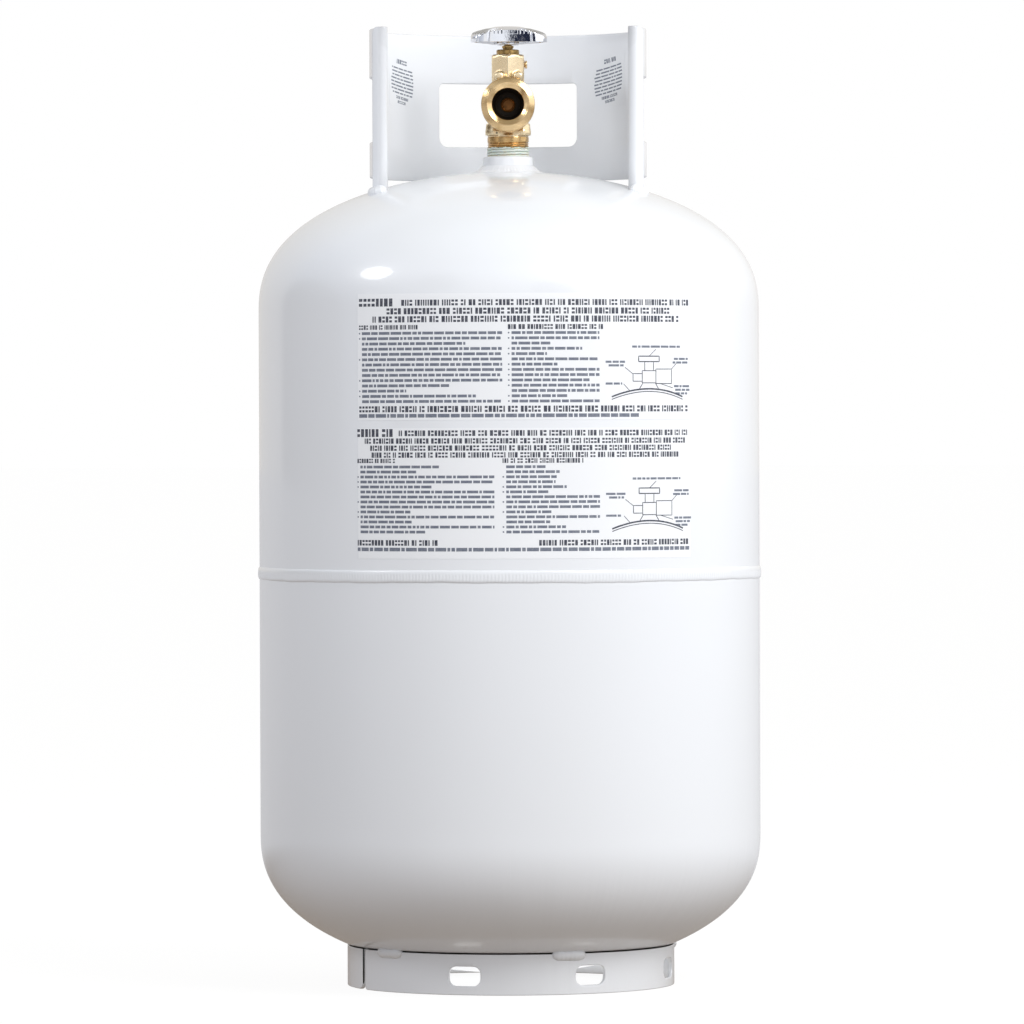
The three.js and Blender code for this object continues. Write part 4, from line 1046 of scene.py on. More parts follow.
def valve_bores():
    """Everything that is drilled or turned out of the forging, as one cutting tool."""
    through = [(0, -17), (5, -17), (5, 21), (3.2, 21), (3.2, 25), (7.2, 25), (7.2, 37), (6, 37)]
    through += [(6, 46), (6.5, 46), (6.5, 66), (0, 66)]
    outlet = [(0, 2), (3.5, 2), (3.5, 11), (7.2, 11), (7.2, 17), (0, 17)]
    relief = [(0, 9.6), (2.5, 9.6), (2.5, 11), (6, 11), (6, 25), (0, 25)]
    tool = mesh_of("bores", raised(revolve(through, 64)))
    tool = boolean(tool, "UNION", along_outlet(revolve(outlet, 64)), along_relief(revolve(relief, 64)))
    return [vertex.co.copy() for vertex in tool.vertices], [tuple(face.vertices) for face in tool.polygons]


def valve_forging():
    """Core, wrench base, hexagon, stubs and lugs, forged as one: blended by a fine remesh."""
    core = raised(revolve(rounded(disc(12, 10, 45, 1.5)), 96))
    neck = along_outlet(revolve(rounded(disc(13, 0, 15.4)), 96))
    relief_stub = along_relief(revolve(rounded(disc(8.3, 0, 16)), 72))
    band = raised(revolve(rounded(disc(12.6, 10.6, 13.6)), 96))
    bleeder_boss = along_bleeder(revolve(rounded(disc(3.1, 6, BLEEDER_END - 1.5, 0.5)), 48))
    lugs = [raised(lug(x)) for x in (-5.4, 6.4)]
    parts = [core, neck, relief_stub, band, raised(wrench_base()), raised(hexagon()), bleeder_boss, *lugs]
    blend = [
        ("REMESH", {"mode": "VOXEL", "voxel_size": 0.4}),
        ("SMOOTH", {"factor": 0.5, "iterations": 6}),
    ]
    blank = with_modifiers(mesh_of("blank", merged(*parts)), blend)
    weep_hole = revolve([(0, 0), (0.55, 0), (0.55, 20), (0, 20)], 24)
    weep_hole = moved(weep_hole, Matrix.Rotation(TURN / 4, 4, "X"), Matrix.Translation((-7, 0, 14.6)))
    return boolean(blank, "DIFFERENCE", valve_bores(), raised(weep_hole))


def divided(start, end, step):
    """Points from start to end, no farther apart than step."""
    start, end = Vector(start), Vector(end)
    count = max(1, math.ceil((end - start).length / step))
    return [tuple(start.lerp(end, i / count)) for i in range(count + 1)]


def thread(radius, height, azimuth, pitch, depth, start, end, flat=0.25):
    """Cuts a thread into the outer surface between two heights, fading in and out."""
    phase = (height / pitch - azimuth / TURN) % 1
    wave = np.clip((np.abs(2 * phase - 1) - flat) / (1 - 2 * flat), 0, 1)
    fade = np.clip((height - start) / (pitch / 3), 0, 1) * np.clip((end - height) / (pitch / 3), 0, 1)
    return radius - depth * wave * fade


def outlet_barrel():
    """The big male thread with the connector's socket inside; heights are forward from the axis."""
    outer, mouth, bore, socket = 16.65, 13.4, 9.7, 10.5
    face = OUTLET_FACE
    neck = [(7.2, 13.2, 0.2), (12.9, 13.2), (12.9, 14.6, 0.4), (outer, 15.2, 0.4)]
    mouth_ring = [(outer, face - 1.7, 0.5), (mouth, face - 0.1, 0.35), (mouth - 0.4, face, 0.2)]
    funnel = [(bore + 0.1, face - 2, 0.9), (bore, 26, 0.3)]
    seat = [(socket, 25.4), (socket, 20, 0.3), (7.2, 20, 0.3)]
    outline = rounded(neck + mouth_ring + funnel + seat, 12)
    rises = [end[1] - start[1] for start, end in zip(outline, outline[1:])]
    longest = rises.index(max(rises))
    outline[longest + 1:longest + 1] = divided(outline[longest], outline[longest + 1], 0.25)[1:-1]

    def bend(radius, height, azimuth):
        cut = thread(radius, height, azimuth, 4.23, 1.9, 16.5, face - 2.4)
        return np.where(radius > outer - 0.4, cut, radius), height

    return along_outlet(revolve(outline, 200, bend))


def shank():
    """The taper-threaded shank that screws into the boss; its thread fades out below the body."""
    outer, top, foot = 12.9, 12.0, -16
    outline = [(5, foot), (outer - 1, foot), *divided((outer, foot + 1), (outer, top), 0.16)]
    outline += [(12.4, top + 0.6), (12.4, 12.9), (5, 12.9)]

    def bend(radius, height, azimuth):
        cut = thread(radius, height, azimuth, 1.4, 0.5, foot + 1, 9.4, 0.12)
        return np.where(radius > outer - 0.2, cut, radius), height

    return raised(revolve(outline, 180, bend))


def thread_tape():
    """Tape wound round the shank: three loose turns above the boss, torn along the top."""
    inner, sunk, low_turn, top = 12.2, 13.4, 12.62, 5.5
    outline = [(inner, -15), *divided((sunk, -15), (sunk, -0.4), 1), (low_turn, -0.1)]
    outline += [*divided((low_turn, 0.1), (low_turn, top), 0.12), (inner, top + 0.2)]
    pitch = 1.814

    def bend(radius, height, azimuth):
        turns = (height - azimuth / TURN * pitch + 0.25 * wander(azimuth, 2)) / pitch
        ridge = 0.5 + 0.5 * np.cos(TURN * turns)
        loose = 0.12 * wander(3 * azimuth + height, 7)
        rise = 0.05 + 0.6 * ridge ** 0.5 + loose * ridge
        above = (height > 0) & (radius > inner + 0.2)
        torn = 0.5 * wander(2 * azimuth, 9) * np.clip((height - 3.5) / 2, 0, 1)
        return np.where(above, radius + rise, radius), height + torn

    return raised(revolve(outline, 240, bend))


def packing_nut():
    head, bore, thread_r = 7.15, 3.3, 6.4
    outline = rounded([
        (5.25, 50.6),
        (thread_r, 50.6, 0.3),
        (thread_r, HEX_TOP + 0.1),
        (head, HEX_TOP + 0.1, 0.25),
        (head, 66.3, 0.2),
        (head - 0.6, 66.8, 0.2),
        (4.6, 66.8, 0.2),
        (4.3, 66.4, 0.2),
        (bore, 66.4, 0.2),
        (bore, 56, 0.2),
        (5.25, 56),
    ])
    return raised(revolve(outline, 96))


def valve_stem():
    """Round stem with a driving tang's shoulder below and the handwheel's square above."""
    outline = rounded([
        (0, 46.3),
        (4.8, 46.3, 0.3),
        (4.8, 49.3, 0.3),
        (3.1, 49.3, 0.3),
        (3.1, 67.6, 0.2),
        (3.6, 68, 0.2),
        (3.6, 69.2, 0.2),
        (2.9, 69.3),
        (2.9, 77.2),
        (2.5, 77.6),
        (0, 77.6),
    ])

    def bend(radius, height, azimuth):
        square = prism_reach(azimuth, 4.6, 4, math.radians(WHEEL_TURN))
        return np.where(height > 69.25, np.minimum(radius, square), radius), height

    tang = block(8.4, 2.4, 10.4, (0, 0, 42.2))
    mesh = mesh_of("stem", raised(revolve(outline, 96, bend)))
    return boolean(mesh, "UNION", raised(moved(tang, wheel_turned())))


def bleeder_screw():
    end = BLEEDER_END
    outline = rounded([
        (0, 9.4),
        (1.1, 9.6),
        (1.6, 10.2),
        (1.6, end - 1.2, 0.1),
        (2.5, end - 1.2, 0.2),
        (2.5, end, 0.5),
        (0, end),
    ])
    mesh = mesh_of("bleeder", along_bleeder(revolve(outline, 48)))
    return boolean(mesh, "DIFFERENCE", block(1.2, 0.8, 8, (end, 0, BLEEDER_Z)))


def relief_barrel():
    bore, outer = 6, 8.5
    outline = rounded([
        (bore, 12.2, 0.2),
        (outer, 12.2, 0.3),
        (outer, RELIEF_END, 0.7),
        (bore, RELIEF_END, 0.4),
    ])
    return along_relief(revolve(outline, 96))


# ---- Handwheel ----

def wheel_reach(azimuth):
    """The handwheel's edge: a triangle with flat sides and big round corners, one side to the front."""
    third = TURN / 3
    azimuth = azimuth - math.radians(WHEEL_TURN)
    from_flat = np.abs(azimuth - third * np.round(azimuth / third))
    flat_reach = WHEEL_CORNER_REACH / 2 + WHEEL_CORNER_R
    flat_half = WHEEL_CORNER_REACH * math.cos(TURN / 12)
    from_corner = TURN / 6 - from_flat
    across = np.minimum(WHEEL_CORNER_REACH * np.sin(from_corner), WHEEL_CORNER_R)
    corner = WHEEL_CORNER_REACH * np.cos(from_corner) + np.sqrt(WHEEL_CORNER_R ** 2 - across ** 2)
    on_flat = np.tan(from_flat) * flat_reach < flat_half
    run = np.tan(from_flat) * flat_reach
    crowned = flat_reach - 0.5 * (run / flat_half) ** 2
    return np.where(on_flat, crowned / np.cos(from_flat), corner), np.where(on_flat, run - flat_half, 9)


def handwheel():
    """A domed dish cut off to the three-sided outline, with a skirt below and gripping ribs above."""
    rim = WHEEL_CORNER_REACH + WHEEL_CORNER_R
    hub, rim_foot, plate_foot, skirt = 7, 71, 74.6, 3.2
    dome = [(radius, WHEEL_CROWN - drop) for radius, drop in WHEEL_DOME]
    section = rounded([
        (0, HUB_FOOT),
        (hub, HUB_FOOT, 0.7),
        (hub, plate_foot - 0.1, 1.2),
        (rim - skirt, plate_foot, 1.2),
        (rim - 2.4, rim_foot, 0.8),
        (rim - 0.1, rim_foot, 0.4),
        *dome,
        (hub + 1, WHEEL_CROWN - 0.05, 6),
        (5.8, WHEEL_CROWN - 0.1, 0.5),
        (5.6, 78.2, 0.3),
        (0, 78.2),
    ], 10)
    dense = []
    for start, end in zip(section, section[1:] + section[:1]):
        dense += divided(start, end, 0.45)[:-1]

    def bend(radius, height, azimuth):
        edge, from_groove = wheel_reach(azimuth)
        within = (radius < rim - 2) & (height < plate_foot + 0.05)
        inset = np.where(within | (height < rim_foot + 0.1), np.clip(rim - radius, 0, skirt), 0)
        lean = 0.1 * np.clip(height - rim_foot, 0, 9)
        limit = edge - inset - lean * (edge < rim - 0.2)
        cut = radius - EDGE_SOFTNESS * np.logaddexp(0, (radius - limit) / EDGE_SOFTNESS)
        reach = np.where(radius > hub + 1.5, cut, radius)
        outer = np.clip((reach - limit + 1.2) / 0.8, 0, 1) * (inset < 1)
        groove = np.exp(-(from_groove / 0.55) ** 2)
        on_top = np.clip((height - plate_foot - 1) / 0.5, 0, 1) * np.clip((radius - 13.5) / 0.8, 0, 1)
        on_top = on_top * np.clip((rim - 1.4 - radius) / 0.8, 0, 1)
        grip = azimuth - math.radians(WHEEL_TURN) + TURN / 6
        arc = np.clip((np.abs(((grip * 3 / TURN) % 1) - 0.5) - 0.12) / 0.03, 0, 1)
        ribs = np.clip(1.6 * np.cos(54 * azimuth) + 0.2, 0, 1) * arc
        return reach - 0.95 * groove * outer, height + (0.5 * ribs - 0.25) * on_top

    return raised(revolve(dense, 540, bend))


def handwheel_screw():
    head = 79.1
    outline = rounded([
        (0, 69.6),
        (1.5, 69.6),
        (1.5, head),
        (3.9, head, 0.2),
        (3.9, head + 1.2, 0.2),
        (2.9, head + 2.05, 1),
        (0, head + 2.25),
    ])
    mesh = mesh_of("wheel_screw", raised(revolve(outline, 72)))
    slot = moved(block(12, 1, 2, (0, 0, head + 2.2)), wheel_turned(28))
    return boolean(mesh, "DIFFERENCE", raised(slot))


# ---- Fittings turned about one axis ----

def circle_outline(radius, wire, height, count=16):
    steps = [TURN * i / count for i in range(count)]
    return [(radius + wire * math.cos(a), height + wire * math.sin(a)) for a in steps]


def coil(radius, wire, start, end, turns):
    steps = 30 * turns
    path = []
    for i in range(steps + 1):
        angle = TURN * turns * i / steps
        height = start + wire + (end - start - 2 * wire) * i / steps
        path.append((radius * math.cos(angle), radius * math.sin(angle), height))
    return tube(path, wire, 10)


def outlet_seal():
    return rounded([
        (4.5, 20.1, 0.3),
        (10.3, 20.1, 0.2),
        (10.3, 23.1, 0.5),
        (8.3, 23.2, 0.2),
        (7.9, 24, 0.35),
        (7.1, 24, 0.35),
        (6.7, 23.2, 0.2),
        (4.5, 23.2, 0.5),
    ])


def check_poppet():
    return rounded([
        (0, 9.5),
        (1.5, 9.5, 0.2),
        (1.5, 17.4, 0.3),
        (6.4, 17.4, 0.2),
        (6.4, 19.9, 0.2),
        (4.2, 19.9),
        (4.2, 22.5, 0.5),
        (3.4, 22.8, 0.2),
        (3.1, 21.9, 0.2),
        (0, 21.6),
    ])


def relief_poppet():
    return rounded([
        (0, 12.4),
        (4.8, 12.4, 0.3),
        (4.8, 14.2, 0.3),
        (1.5, 14.2, 0.2),
        (1.5, 20.6, 0.3),
        (0, 20.6),
    ])


def stop_piston():
    return rounded([
        (0, -43.4),
        (2.2, -43.4, 0.5),
        (2.2, -31.6, 0.3),
        (4.9, -31.6, 0.4),
        (4.9, -26.2, 0.6),
        (0, -26.2),
    ])


def relief_adjuster():
    blank = mesh_of("adjuster", along_relief(revolve(rounded(ring(1.8, 5.8, 19.9, 22.6, 0.3)), 64)))
    return boolean(blank, "DIFFERENCE", block(30, 2.4, 2, (0, 22.6, OUTLET_Z)))


def stop_float():
    top = high("float").z
    foot = low("float").z
    centre = middle("float")
    outline = rounded([(0, foot), (8, foot, 3), (8, top, 3), (0, top)])
    shift = Matrix.Translation((centre.x, centre.y, 0))
    mesh = mesh_of("float_body", moved(revolve(outline, 64), shift))
    arm = middle("float_arm")
    pivot_y = middle("float_pin").y
    return boolean(mesh, "DIFFERENCE", block(3.6, 2.6, 22, (arm.x, pivot_y, top)))


def spindle():
    outline = rounded([
        (0, 28.4),
        (4.9, 28.4, 0.3),
        (4.9, 30),
        (5.9, 31),
        *divided((5.9, 31.1), (5.9, 41.6), 0.2)[1:],
        (5.6, 42),
        (0, 42),
    ])

    def bend(radius, height, azimuth):
        cut = thread(radius, height, azimuth, 1.5, 0.6, 31.2, 41.8, 0.12)
        return np.where(radius > 5.7, cut, radius), height

    mesh = mesh_of("spindle", raised(revolve(outline, 96, bend)))
    slot = moved(block(20, 2.9, 10, (0, 0, 39)), wheel_turned())
    return boolean(mesh, "DIFFERENCE", raised(slot))


# ---- Printed panels: plain bars on thin films, no lettering ----

def on_vessel(run, height, lift):
    """A point on the vessel's front, from the arc run round it, a height and a lift off the paint."""
    plan = at_azimuth(run / VESSEL_R, head_radius(height - UPPER_TANGENT) + lift)
    return plan.x, plan.y, height


def in_collar(run, height, lift):
    inner = COLLAR_R - COLLAR_SHEET
    plan = at_azimuth(run / inner, inner - lift)
    return plan.x, plan.y, height


def strip(surface, line, width, lift_low, lift_high, spacing=2.5):
    """A thin closed ribbon along a line of (run, height) points on a surface."""
    dense = []
    for start, end in zip(line, line[1:]):
        dense += divided(start, end, spacing)[:-1]
    dense = [Vector(point) for point in dense + [line[-1]]]
    last = len(dense) - 1
    points = []
    for i, point in enumerate(dense):
        along = (dense[min(i + 1, last)] - dense[max(i - 1, 0)]).normalized()
        across = Vector((-along.y, along.x)) * width / 2
        for lift in (lift_low, lift_high):
            points.append(surface(*(point - across), lift))
            points.append(surface(*(point + across), lift))
    faces = [(0, 1, 3, 2)]
    for i in range(last):
        a, b = 4 * i, 4 * i + 4
        faces += [(a, b, b + 1, a + 1), (a + 1, b + 1, b + 3, a + 3)]
        faces += [(a + 3, b + 3, b + 2, a + 2), (a + 2, b + 2, b, a)]
    faces.append((4 * last, 4 * last + 2, 4 * last + 3, 4 * last + 1))
    return points, faces


def film(surface, start, end, bottom, top):
    """The ground of a panel, in level ribbons so that it follows the surface both ways."""
    rows = max(2, round((top - bottom) / 2))
    columns = max(2, round((end - start) / 2.5))
    points, faces = [], []
    for lift in (0.02, 0.11):
        for i in range(rows + 1):
            for j in range(columns + 1):
                run = start + (end - start) * j / columns
                points.append(surface(run, bottom + (top - bottom) * i / rows, lift))
    size = (rows + 1) * (columns + 1)

    def at(layer, i, j):
        return layer * size + i * (columns + 1) + j

    for i in range(rows):
        for j in range(columns):
            for layer in (0, 1):
                face = (at(layer, i, j), at(layer, i, j + 1), at(layer, i + 1, j + 1), at(layer, i + 1, j))
                faces.append(face if layer else face[::-1])
    for j in range(columns):
        faces.append((at(0, 0, j), at(0, 0, j + 1), at(1, 0, j + 1), at(1, 0, j)))
        faces.append((at(0, rows, j), at(1, rows, j), at(1, rows, j + 1), at(0, rows, j + 1)))
    for i in range(rows):
        faces.append((at(0, i, 0), at(1, i, 0), at(1, i + 1, 0), at(0, i + 1, 0)))
        faces.append((at(0, i, columns), at(0, i + 1, columns), at(1, i + 1, columns), at(1, i, columns)))
    return points, faces


class Print:
    """Collects one panel's bars. Runs and heights are in the surface's own millimetres."""

    def __init__(self, surface, seed, slant=0.0, pivot=0.0):
        self.surface = surface
        self.slant = slant
        self.pivot = pivot
        self.draws = random.Random(seed)
        self.dark = []
        self.pale = []

    def bar(self, start, end, height, tall, dark=True):
        line = [(run, height + self.slant * (run - self.pivot)) for run in (start, end)]
        shape = strip(self.surface, line, tall, 0.08, 0.15)
        (self.dark if dark else self.pale).append(shape)

    def heading(self, start, end, height, tall):
        """A row of plain marks in word-like groups: whole blocks, narrow ones and split ones."""
        run = start
        while run < end - tall * 0.4:
            for _ in range(self.draws.randint(2, 9)):
                kind = self.draws.random()
                wide = tall * (0.24 if kind < 0.35 else self.draws.uniform(0.4, 0.56))
                if run + wide > end:
                    return
                if kind > 0.7:
                    self.bar(run, run + wide, height + tall * 0.31, tall * 0.36)
                    self.bar(run, run + wide, height - tall * 0.31, tall * 0.36)
                else:
                    self.bar(run, run + wide, height, tall)
                run += wide + tall * 0.17
            run += tall * 0.35

    def small_line(self, start, end, height, tall):
        run = start
        while run < end - 0.8:
            wide = min(self.draws.uniform(1.4, 7.5), end - run)
            self.bar(run, run + wide, height, tall, dark=False)
            run += wide + 0.75

    def column(self, start, end, top, count, pitch, tall):
        """Small lines with ragged ends; some start with a dot and the lines after them are indented."""
        for i in range(count):
            height = top - pitch * i
            ends_short = self.draws.random() < 0.35
            stop = start + (end - start) * (self.draws.uniform(0.35, 0.9) if ends_short else 1)
            if self.draws.random() < 0.6:
                self.bar(start, start + 0.9, height, 0.9, dark=False)
            self.small_line(start + 2.2, stop, height, tall)

    def drawing(self, line, width):
        self.dark.append(strip(self.surface, line, width * 1.3, 0.08, 0.15, 1.2))


def rectangle(page, left, right, bottom, top, width=0.38):
    corners = [(left, bottom), (right, bottom), (right, top), (left, top), (left, bottom)]
    page.drawing(corners, width)


def pictogram(page, run, crown):
    """A plain line diagram of a valve on a tank: stacked boxes on a bowed double line, with pointers
    and short bars. The bow's top is at height crown."""
    for drop, width in ((0, 0.75), (1.6, 0.4)):
        bow = []
        for i in range(21):
            share = i / 10 - 1
            bow.append((run + 26 * share, crown - drop - 4.8 * share ** 2))
        page.drawing(bow, width)
    foot = ((-7, 0), (-4.5, 3.6), (4.5, 3.6), (7, 0))
    page.drawing([(run + x, crown + z) for x, z in foot], 0.38)
    rectangle(page, run - 5, run + 5, crown + 3.6, crown + 11)
    rectangle(page, run - 3.2, run + 3.2, crown + 11, crown + 16.5)
    rectangle(page, run - 7.5, run + 7.5, crown + 16.5, crown + 19.8, 0.5)
    rectangle(page, run - 11.5, run - 5, crown + 4.6, crown + 9.2)
    rectangle(page, run + 5, run + 17, crown + 3.2, crown + 12)
    pointers = (
        ((-11.5, 9), (-17, 13)),
        ((-14, -1), (-18, 3)),
        ((0, 19.8), (5, 24)),
        ((17, 12), (21, 15.5)),
        ((8, 3.2), (18, 0.6)),
    )
    for near, far in pointers:
        page.drawing([(run + near[0], crown + near[1]), (run + far[0], crown + far[1])], 0.3)
    captions = (
        (-30, -17, 16.4),
        (-28, -18, 14.2),
        (-30, -19, 3.2),
        (-12, 24, 25.6),
        (19, 31, 18.2),
        (18, 31, 16),
        (19, 33, 1.6),
        (20, 32, -0.6),
        (20, 31, -2.8),
    )
    for left, right, level in captions:
        page.small_line(run + left, run + right, crown + level, 1.3)


def upper_panel():
    start, end = (VESSEL_R * math.radians(a) for a in azimuth_range("front_decal_upper"))
    page = Print(on_vessel, 11)
    page.heading(start + 1, start + 27, 423.3, 4.8)
    page.heading(start + 31, end - 1, 423.0, 3.6)
    page.heading(start + 21, end - 16, 417.9, 3.7)
    page.heading(start + 11, end - 8, 413.0, 3.7)
    page.heading(start + 1, start + 42, 408.2, 2.7)
    page.heading(-0.5, 60, 408.2, 3.0)
    page.column(start + 1, -4, 404.6, 14, 3.18, 1.7)
    page.column(-0.5, 56, 404.6, 14, 3.18, 1.7)
    pictogram(page, 90, 370.5)
    page.heading(start + 1, end - 1, 358.6, 3.7)
    page.small_line(start + 1, end - 40, 354.6, 2.2)
    return page, film(on_vessel, start, end, low("front_decal_upper").z, 428.6)


def lower_panel():
    start, end = (VESSEL_R * math.radians(a) for a in azimuth_range("front_decal_lower"))
    page = Print(on_vessel, 23)
    page.heading(start - 0.5, start + 25, 344.2, 4.8)
    page.heading(start + 29, end, 344.0, 3.4)
    page.heading(start + 5, end - 2, 339.3, 3.2)
    page.heading(start + 9, end - 14, 335.0, 3.2)
    page.heading(start + 10, end - 8, 330.8, 3.2)
    page.heading(start - 0.5, start + 27, 327.3, 2.6)
    page.heading(-4, 46, 327.3, 2.8)
    page.column(start - 0.5, -9, 323.6, 14, 3.03, 1.65)
    page.column(-4, 56, 323.6, 14, 3.03, 1.65)
    pictogram(page, 90, 290.5)
    page.heading(start - 0.5, start + 54, 277.6, 3.4)
    page.heading(18, end, 277.6, 3.4)
    page.small_line(start - 0.5, end, 273.6, 2.2)
    return page, film(on_vessel, start, end, low("front_decal_lower").z, high("front_decal_lower").z)


def collar_notice(node, seed, lines, slant):
    """A short notice inside the collar: a heading, a rounded block of small lines, two bold lines."""
    inner = COLLAR_R - COLLAR_SHEET
    start, end = (inner * math.radians(a) for a in azimuth_range(node))
    middle_run, half = (start + end) / 2, (end - start) / 2 - 2
    top = high(node).z - 0.5
    page = Print(in_collar, seed, slant, middle_run)
    page.heading(middle_run - half * 0.45, middle_run + half * 0.45, top - 3, 2.8)
    pitch = 2.2
    for i in range(lines):
        share = (i + 1) / (lines + 1) * 2 - 1
        wide = half * (0.74 + 0.22 * math.sqrt(1 - share * share))
        page.small_line(middle_run - wide, middle_run + wide, top - 7.4 - pitch * i, 0.9)
    below = top - 7.4 - pitch * lines
    page.heading(middle_run - half * 0.55, middle_run + half * 0.55, below - 0.6, 1.8)
    page.heading(middle_run - half * 0.35, middle_run + half * 0.35, below - 3.4, 1.8)
    return page, film(in_collar, start, end, low(node).z, high(node).z)


# ---- Assembly ----

def assemble_vessel():
    paint = (PAINT, "white_paint")
    piece("vessel_upper", upper_vessel(), *paint, replaces=["upper_shell"])
    piece("vessel_lower", lower_vessel(), HEAD_PAINT, "white_paint", replaces=["lower_shell"])
    piece("seam_bead", girth_bead(), *paint, replaces=["girth_weld"])
    piece("neck_boss", boss(), *paint, replaces=["valve_boss"])
    piece("neck_weld", boss_weld(), *paint, replaces=["boss_weld"])
    piece("collar_sheet", collar_sheet(), SHEET_PAINT, "white_paint", replaces=["collar"], sharp=50)
    piece("foot_ring_sheet", foot_ring(), RING_PAINT, "white_paint", replaces=["foot_ring"], sharp=50)
    for i in range(1, FOOT_WELD_COUNT + 1):
        piece(f"foot_bead_{i}", foot_weld(i), *paint, replaces=[f"foot_ring_weld_{i}"])
    for side, word in ((-1, "left"), (1, "right")):
        beads = merged(lip_weld(side), lip_edge_weld(side))
        piece(f"lip_bead_{word}", beads, *paint, replaces=[f"collar_weld_front_{word}"])
        piece(f"leg_bead_{word}", leg_weld(side), *paint, replaces=[f"collar_weld_rear_{word}"])


def assemble_print():
    panels = {
        "front_decal_upper": upper_panel(),
        "front_decal_lower": lower_panel(),
        "collar_decal_left": collar_notice("collar_decal_left", 5, 8, 0.17),
        "collar_decal_right": collar_notice("collar_decal_right", 6, 8, -0.17),
    }
    for name, (page, ground) in panels.items():
        ground_material = PAINT if name.startswith("collar") else FILM
        piece(f"{name}_film", ground, ground_material, "printed_film", replaces=[name])
        heading_ink = PALE_INK if name.startswith("collar") else DARK_INK
        piece(f"{name}_dark_print", merged(*page.dark), heading_ink, None)
        piece(f"{name}_pale_print", merged(*page.pale), PALE_INK, None)


def assemble_valve():
    piece("valve_forging", valve_forging(), FORGED, "brass", replaces=["valve_body"], sharp=50)
    piece("outlet_barrel", outlet_barrel(), TURNED_Y, "brass")
    piece("valve_shank", shank(), SHANK_BRASS, "brass")
    piece("relief_barrel", relief_barrel(), TURNED_Y, "brass")
    piece("sealing_tape", thread_tape(), TAPE, "thread_tape", replaces=["thread_tape"])
    piece("gland_nut", packing_nut(), DARK_BRASS_Z, "brass", replaces=["packing_nut"])
    seal = along_outlet(revolve(outlet_seal(), 128))
    piece("connector_seal", seal, RUBBER, "black_rubber", replaces=["outlet_seal"])
    adjuster = relief_adjuster()
    piece("relief_key_ring", adjuster, TURNED_Y, "brass", replaces=["relief_adjuster"])
    washer = raised(revolve(rounded(ring(3.3, 6, 49.5, 50.4)), 64))
    piece("gland_washer", washer, NYLON, "nylon", replaces=["stem_washer"])
    gland_ring = raised(revolve(circle_outline(4.15, 0.95, 54.4), 64))
    piece("gland_ring", gland_ring, RUBBER, "black_rubber", replaces=["stem_seal"])
    pipe = revolve(rounded(ring(1, 1.6, low("dip_tube").z, high("dip_tube").z, 0.15)), 32)
    pipe = moved(pipe, Matrix.Translation((middle("dip_tube").x, 0, 0)))
    piece("level_tube", pipe, TURNED_Z, "brass", replaces=["dip_tube"])


def assemble_moving_parts():
    wheel = {"body": "wheel_and_stem"}
    piece("wheel_casting", handwheel(), CHROME, "chrome_plate", replaces=["handwheel"], **wheel)
    washer = raised(revolve(rounded(ring(1.8, 5.2, 78.3, 79), 20), 64))
    piece("wheel_washer", washer, STEEL, "steel", replaces=["handwheel_washer"], **wheel)
    piece("wheel_screw", handwheel_screw(), STEEL, "steel", replaces=["handwheel_screw"], **wheel)
    piece("valve_stem", valve_stem(), DARK_BRASS_Z, "brass", replaces=["stem"], **wheel)
    piece("spindle_screw", spindle(), TURNED_Z, "brass", body="spindle", replaces=["lower_spindle"])
    seat = raised(revolve(rounded(disc(5, 25.1, 28.3)), 64))
    piece("seat_rubber", seat, RUBBER, "black_rubber", body="spindle", replaces=["seat_disc"])
    poppet = along_outlet(revolve(check_poppet(), 96))
    piece("check_plunger", poppet, SHADED_BRASS_Y, "brass", body="outlet_check", replaces=["check_poppet"])
    poppet = along_relief(revolve(relief_poppet(), 64))
    piece("relief_plunger", poppet, TURNED_Y, "brass", body="relief_plug", replaces=["relief_poppet"])
    face = along_relief(revolve(rounded(disc(4.4, 11.1, 12.3)), 64))
    piece("relief_face", face, RUBBER, "black_rubber", body="relief_plug", replaces=["relief_seal"])
    piece("level_screw", bleeder_screw(), TURNED_X, "brass", body="bleeder", replaces=["bleeder_screw"])
    piston = raised(revolve(stop_piston(), 64))
    piece("stop_plunger", piston, NYLON, "nylon", body="stop_piston", replaces=["overfill_stop_piston"])
    piece("float_body", stop_float(), FLOAT_FOAM, "float_plastic", body="float_and_arm", replaces=["float"])


def assemble_springs():
    spring = along_outlet(coil(4.6, 0.4, 12.5, 17.3, 3))
    made = piece("check_coil", spring, STEEL, "steel", replaces=["check_spring"])
    squash(made)
    spring = along_relief(coil(3.6, 0.45, 14.3, 19.8, 3))
    made = piece("relief_coil", spring, STEEL, "steel", replaces=["relief_spring"])
    squash(made)


def squash(made):
    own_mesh(made)


def finish_carried_over_nodes():
    looks = {
        "check_guide": TURNED_Y,
        "overfill_stop_housing": TURNED_Z,
        "float_arm": STEEL,
        "float_pin": STEEL,
    }
    for name, material in looks.items():
        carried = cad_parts[name]
        carried.data.materials.clear()
        carried.data.materials.append(material)


assemble_vessel()
assemble_print()
assemble_valve()
assemble_moving_parts()
assemble_springs()
finish_carried_over_nodes()


# ---- Studio ----

# Tones of the room and of the floor, as the object sees them; the floor's tones are a painted glow standing
# in for its bounce light
ROOM_LEFT = (0.47, 0.51, 0.60)
ROOM_RIGHT = (1.52, 1.55, 1.58)
BACKDROP = (0.78, 0.75, 0.71)
CEILING = (0.42, 0.41, 0.37)
# Painted light: the floor glows with these to the object, darker round the foot as a painted shadow and
# bright inside the foot ring as a painted glow
FLOOR_NEAR = (0.32, 0.275, 0.235)
FLOOR_FAR = (0.66, 0.66, 0.68)
FLOOR_INSIDE_FOOT = (1.1, 1.1, 1.1)
LEFT_BOX_POWER = 8.9
RIGHT_BOX_POWER = 30

